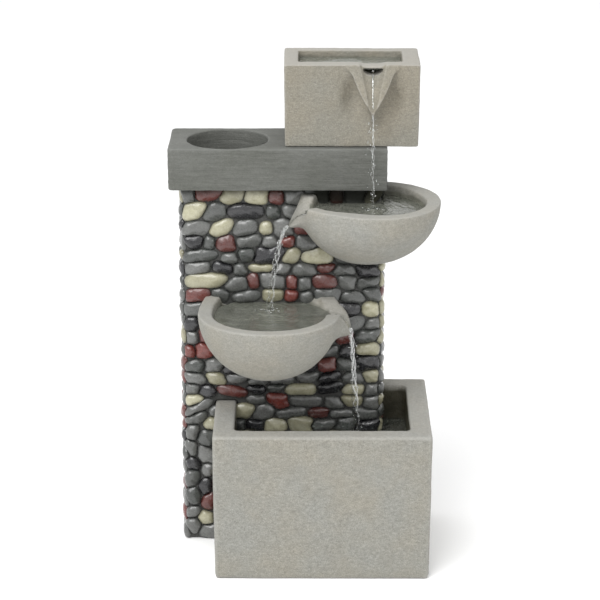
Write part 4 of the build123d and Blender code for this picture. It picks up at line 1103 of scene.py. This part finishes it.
# ---------------------------- carried-over CAD nodes
BLACK, SEAL_BLACK, STEEL_GREY = rgb(0.03, 0.03, 0.032), rgb(0.03, 0.03, 0.03), rgb(0.6, 0.59, 0.57)
# Gloss range, texture scale and depth, then how metallic and how uneven in tone.
RUBBER, SMOOTH = (0.6, 0.85, 800, 0.0002), (0.4, 0.6, 900, 0.0001)
STEEL = (500, 0.0001, 1.0, 0.1)
CARRIED = {
    "bowl_bolts": plain("steel", rgb(0.58, 0.57, 0.55), 0.22, 0.42, *STEEL),
    "bowl_washers": plain("steel_washer", STEEL_GREY, 0.25, 0.45, *STEEL),
    "bowl_inserts": plain("brass", rgb(0.72, 0.52, 0.24), 0.25, 0.45, 700, 0.0001, 1.0, 0.15),
    "cord_grommet": plain("rubber", rgb(0.03, 0.03, 0.031), *RUBBER),
    "reservoir_fitting": plain("black_plastic", BLACK, *SMOOTH),
    "fitting_seal": plain("rubber_seal", SEAL_BLACK, *RUBBER),
    "fitting_nut": plain("black_plastic_nut", BLACK, *SMOOTH),
    "riser_hose": plain("clear_hose", rgb(0.62, 0.66, 0.66), 0.12, 0.3, 160, 0.0002, 0.0, 0.08, Alpha=0.55),
    "hose_clips": plain("steel_clip", STEEL_GREY, 0.22, 0.42, *STEEL),
    "pump_motor_block": plain("black_plastic_pump", rgb(0.028, 0.028, 0.03), 0.45, 0.65, 900),
    "pump_volute": plain("black_plastic_volute", BLACK, 0.4, 0.62, 900),
    "volute_seal": plain("rubber_ring", SEAL_BLACK, *RUBBER),
    "stator_core": plain(
        "lamination", rgb(0.22, 0.22, 0.23), 0.35, 0.55, metallic=0.9, spread=0.25, stretch=(2500, 60, 60)
    ),
    "stator_coil": plain("copper", rgb(0.55, 0.24, 0.11), 0.25, 0.4, 1.0, 0.0003, 0.9, 0.3, (2200, 90, 90)),
    "impeller": plain("white_plastic", rgb(0.74, 0.74, 0.71), 0.35, 0.5, 500, 0.0001, 0.0, 0.06),
    "rotor_magnet": plain("ferrite", rgb(0.06, 0.06, 0.062), 0.45, 0.65, 900),
    "rotor_shaft": plain("shaft_ceramic", rgb(0.8, 0.8, 0.77), 0.15, 0.28, 700, 0.00005, 0.0, 0.05),
    "shaft_bushes": plain("rubber_bush", SEAL_BLACK, *RUBBER),
    "intake_cover": plain("black_plastic_cover", BLACK, 0.42, 0.62, 900),
    "flow_dial": plain("grey_plastic", rgb(0.28, 0.29, 0.3), 0.4, 0.55, 700, 0.0001, 0.0, 0.1),
    "suction_cups": plain("rubber_cup", rgb(0.035, 0.035, 0.036), 0.5, 0.75, 800),
}
for node, material in CARRIED.items():
    mesh = nodes[node].data
    mesh.materials.clear()
    mesh.materials.append(material)

floor_stone = Shader("floor")
floor_material = floor_stone.principled(Base_Color=rgb(0.95, 0.95, 0.95), Roughness=0.9)
corners = [(-25, -25, 0), (25, -25, 0), (25, 25, 0), (-25, 25, 0)]
floor = new_object("studio_floor", corners, [[0, 1, 2, 3]], floor_material)
floor.location.z = -0.0005

bpy.context.view_layer.update()
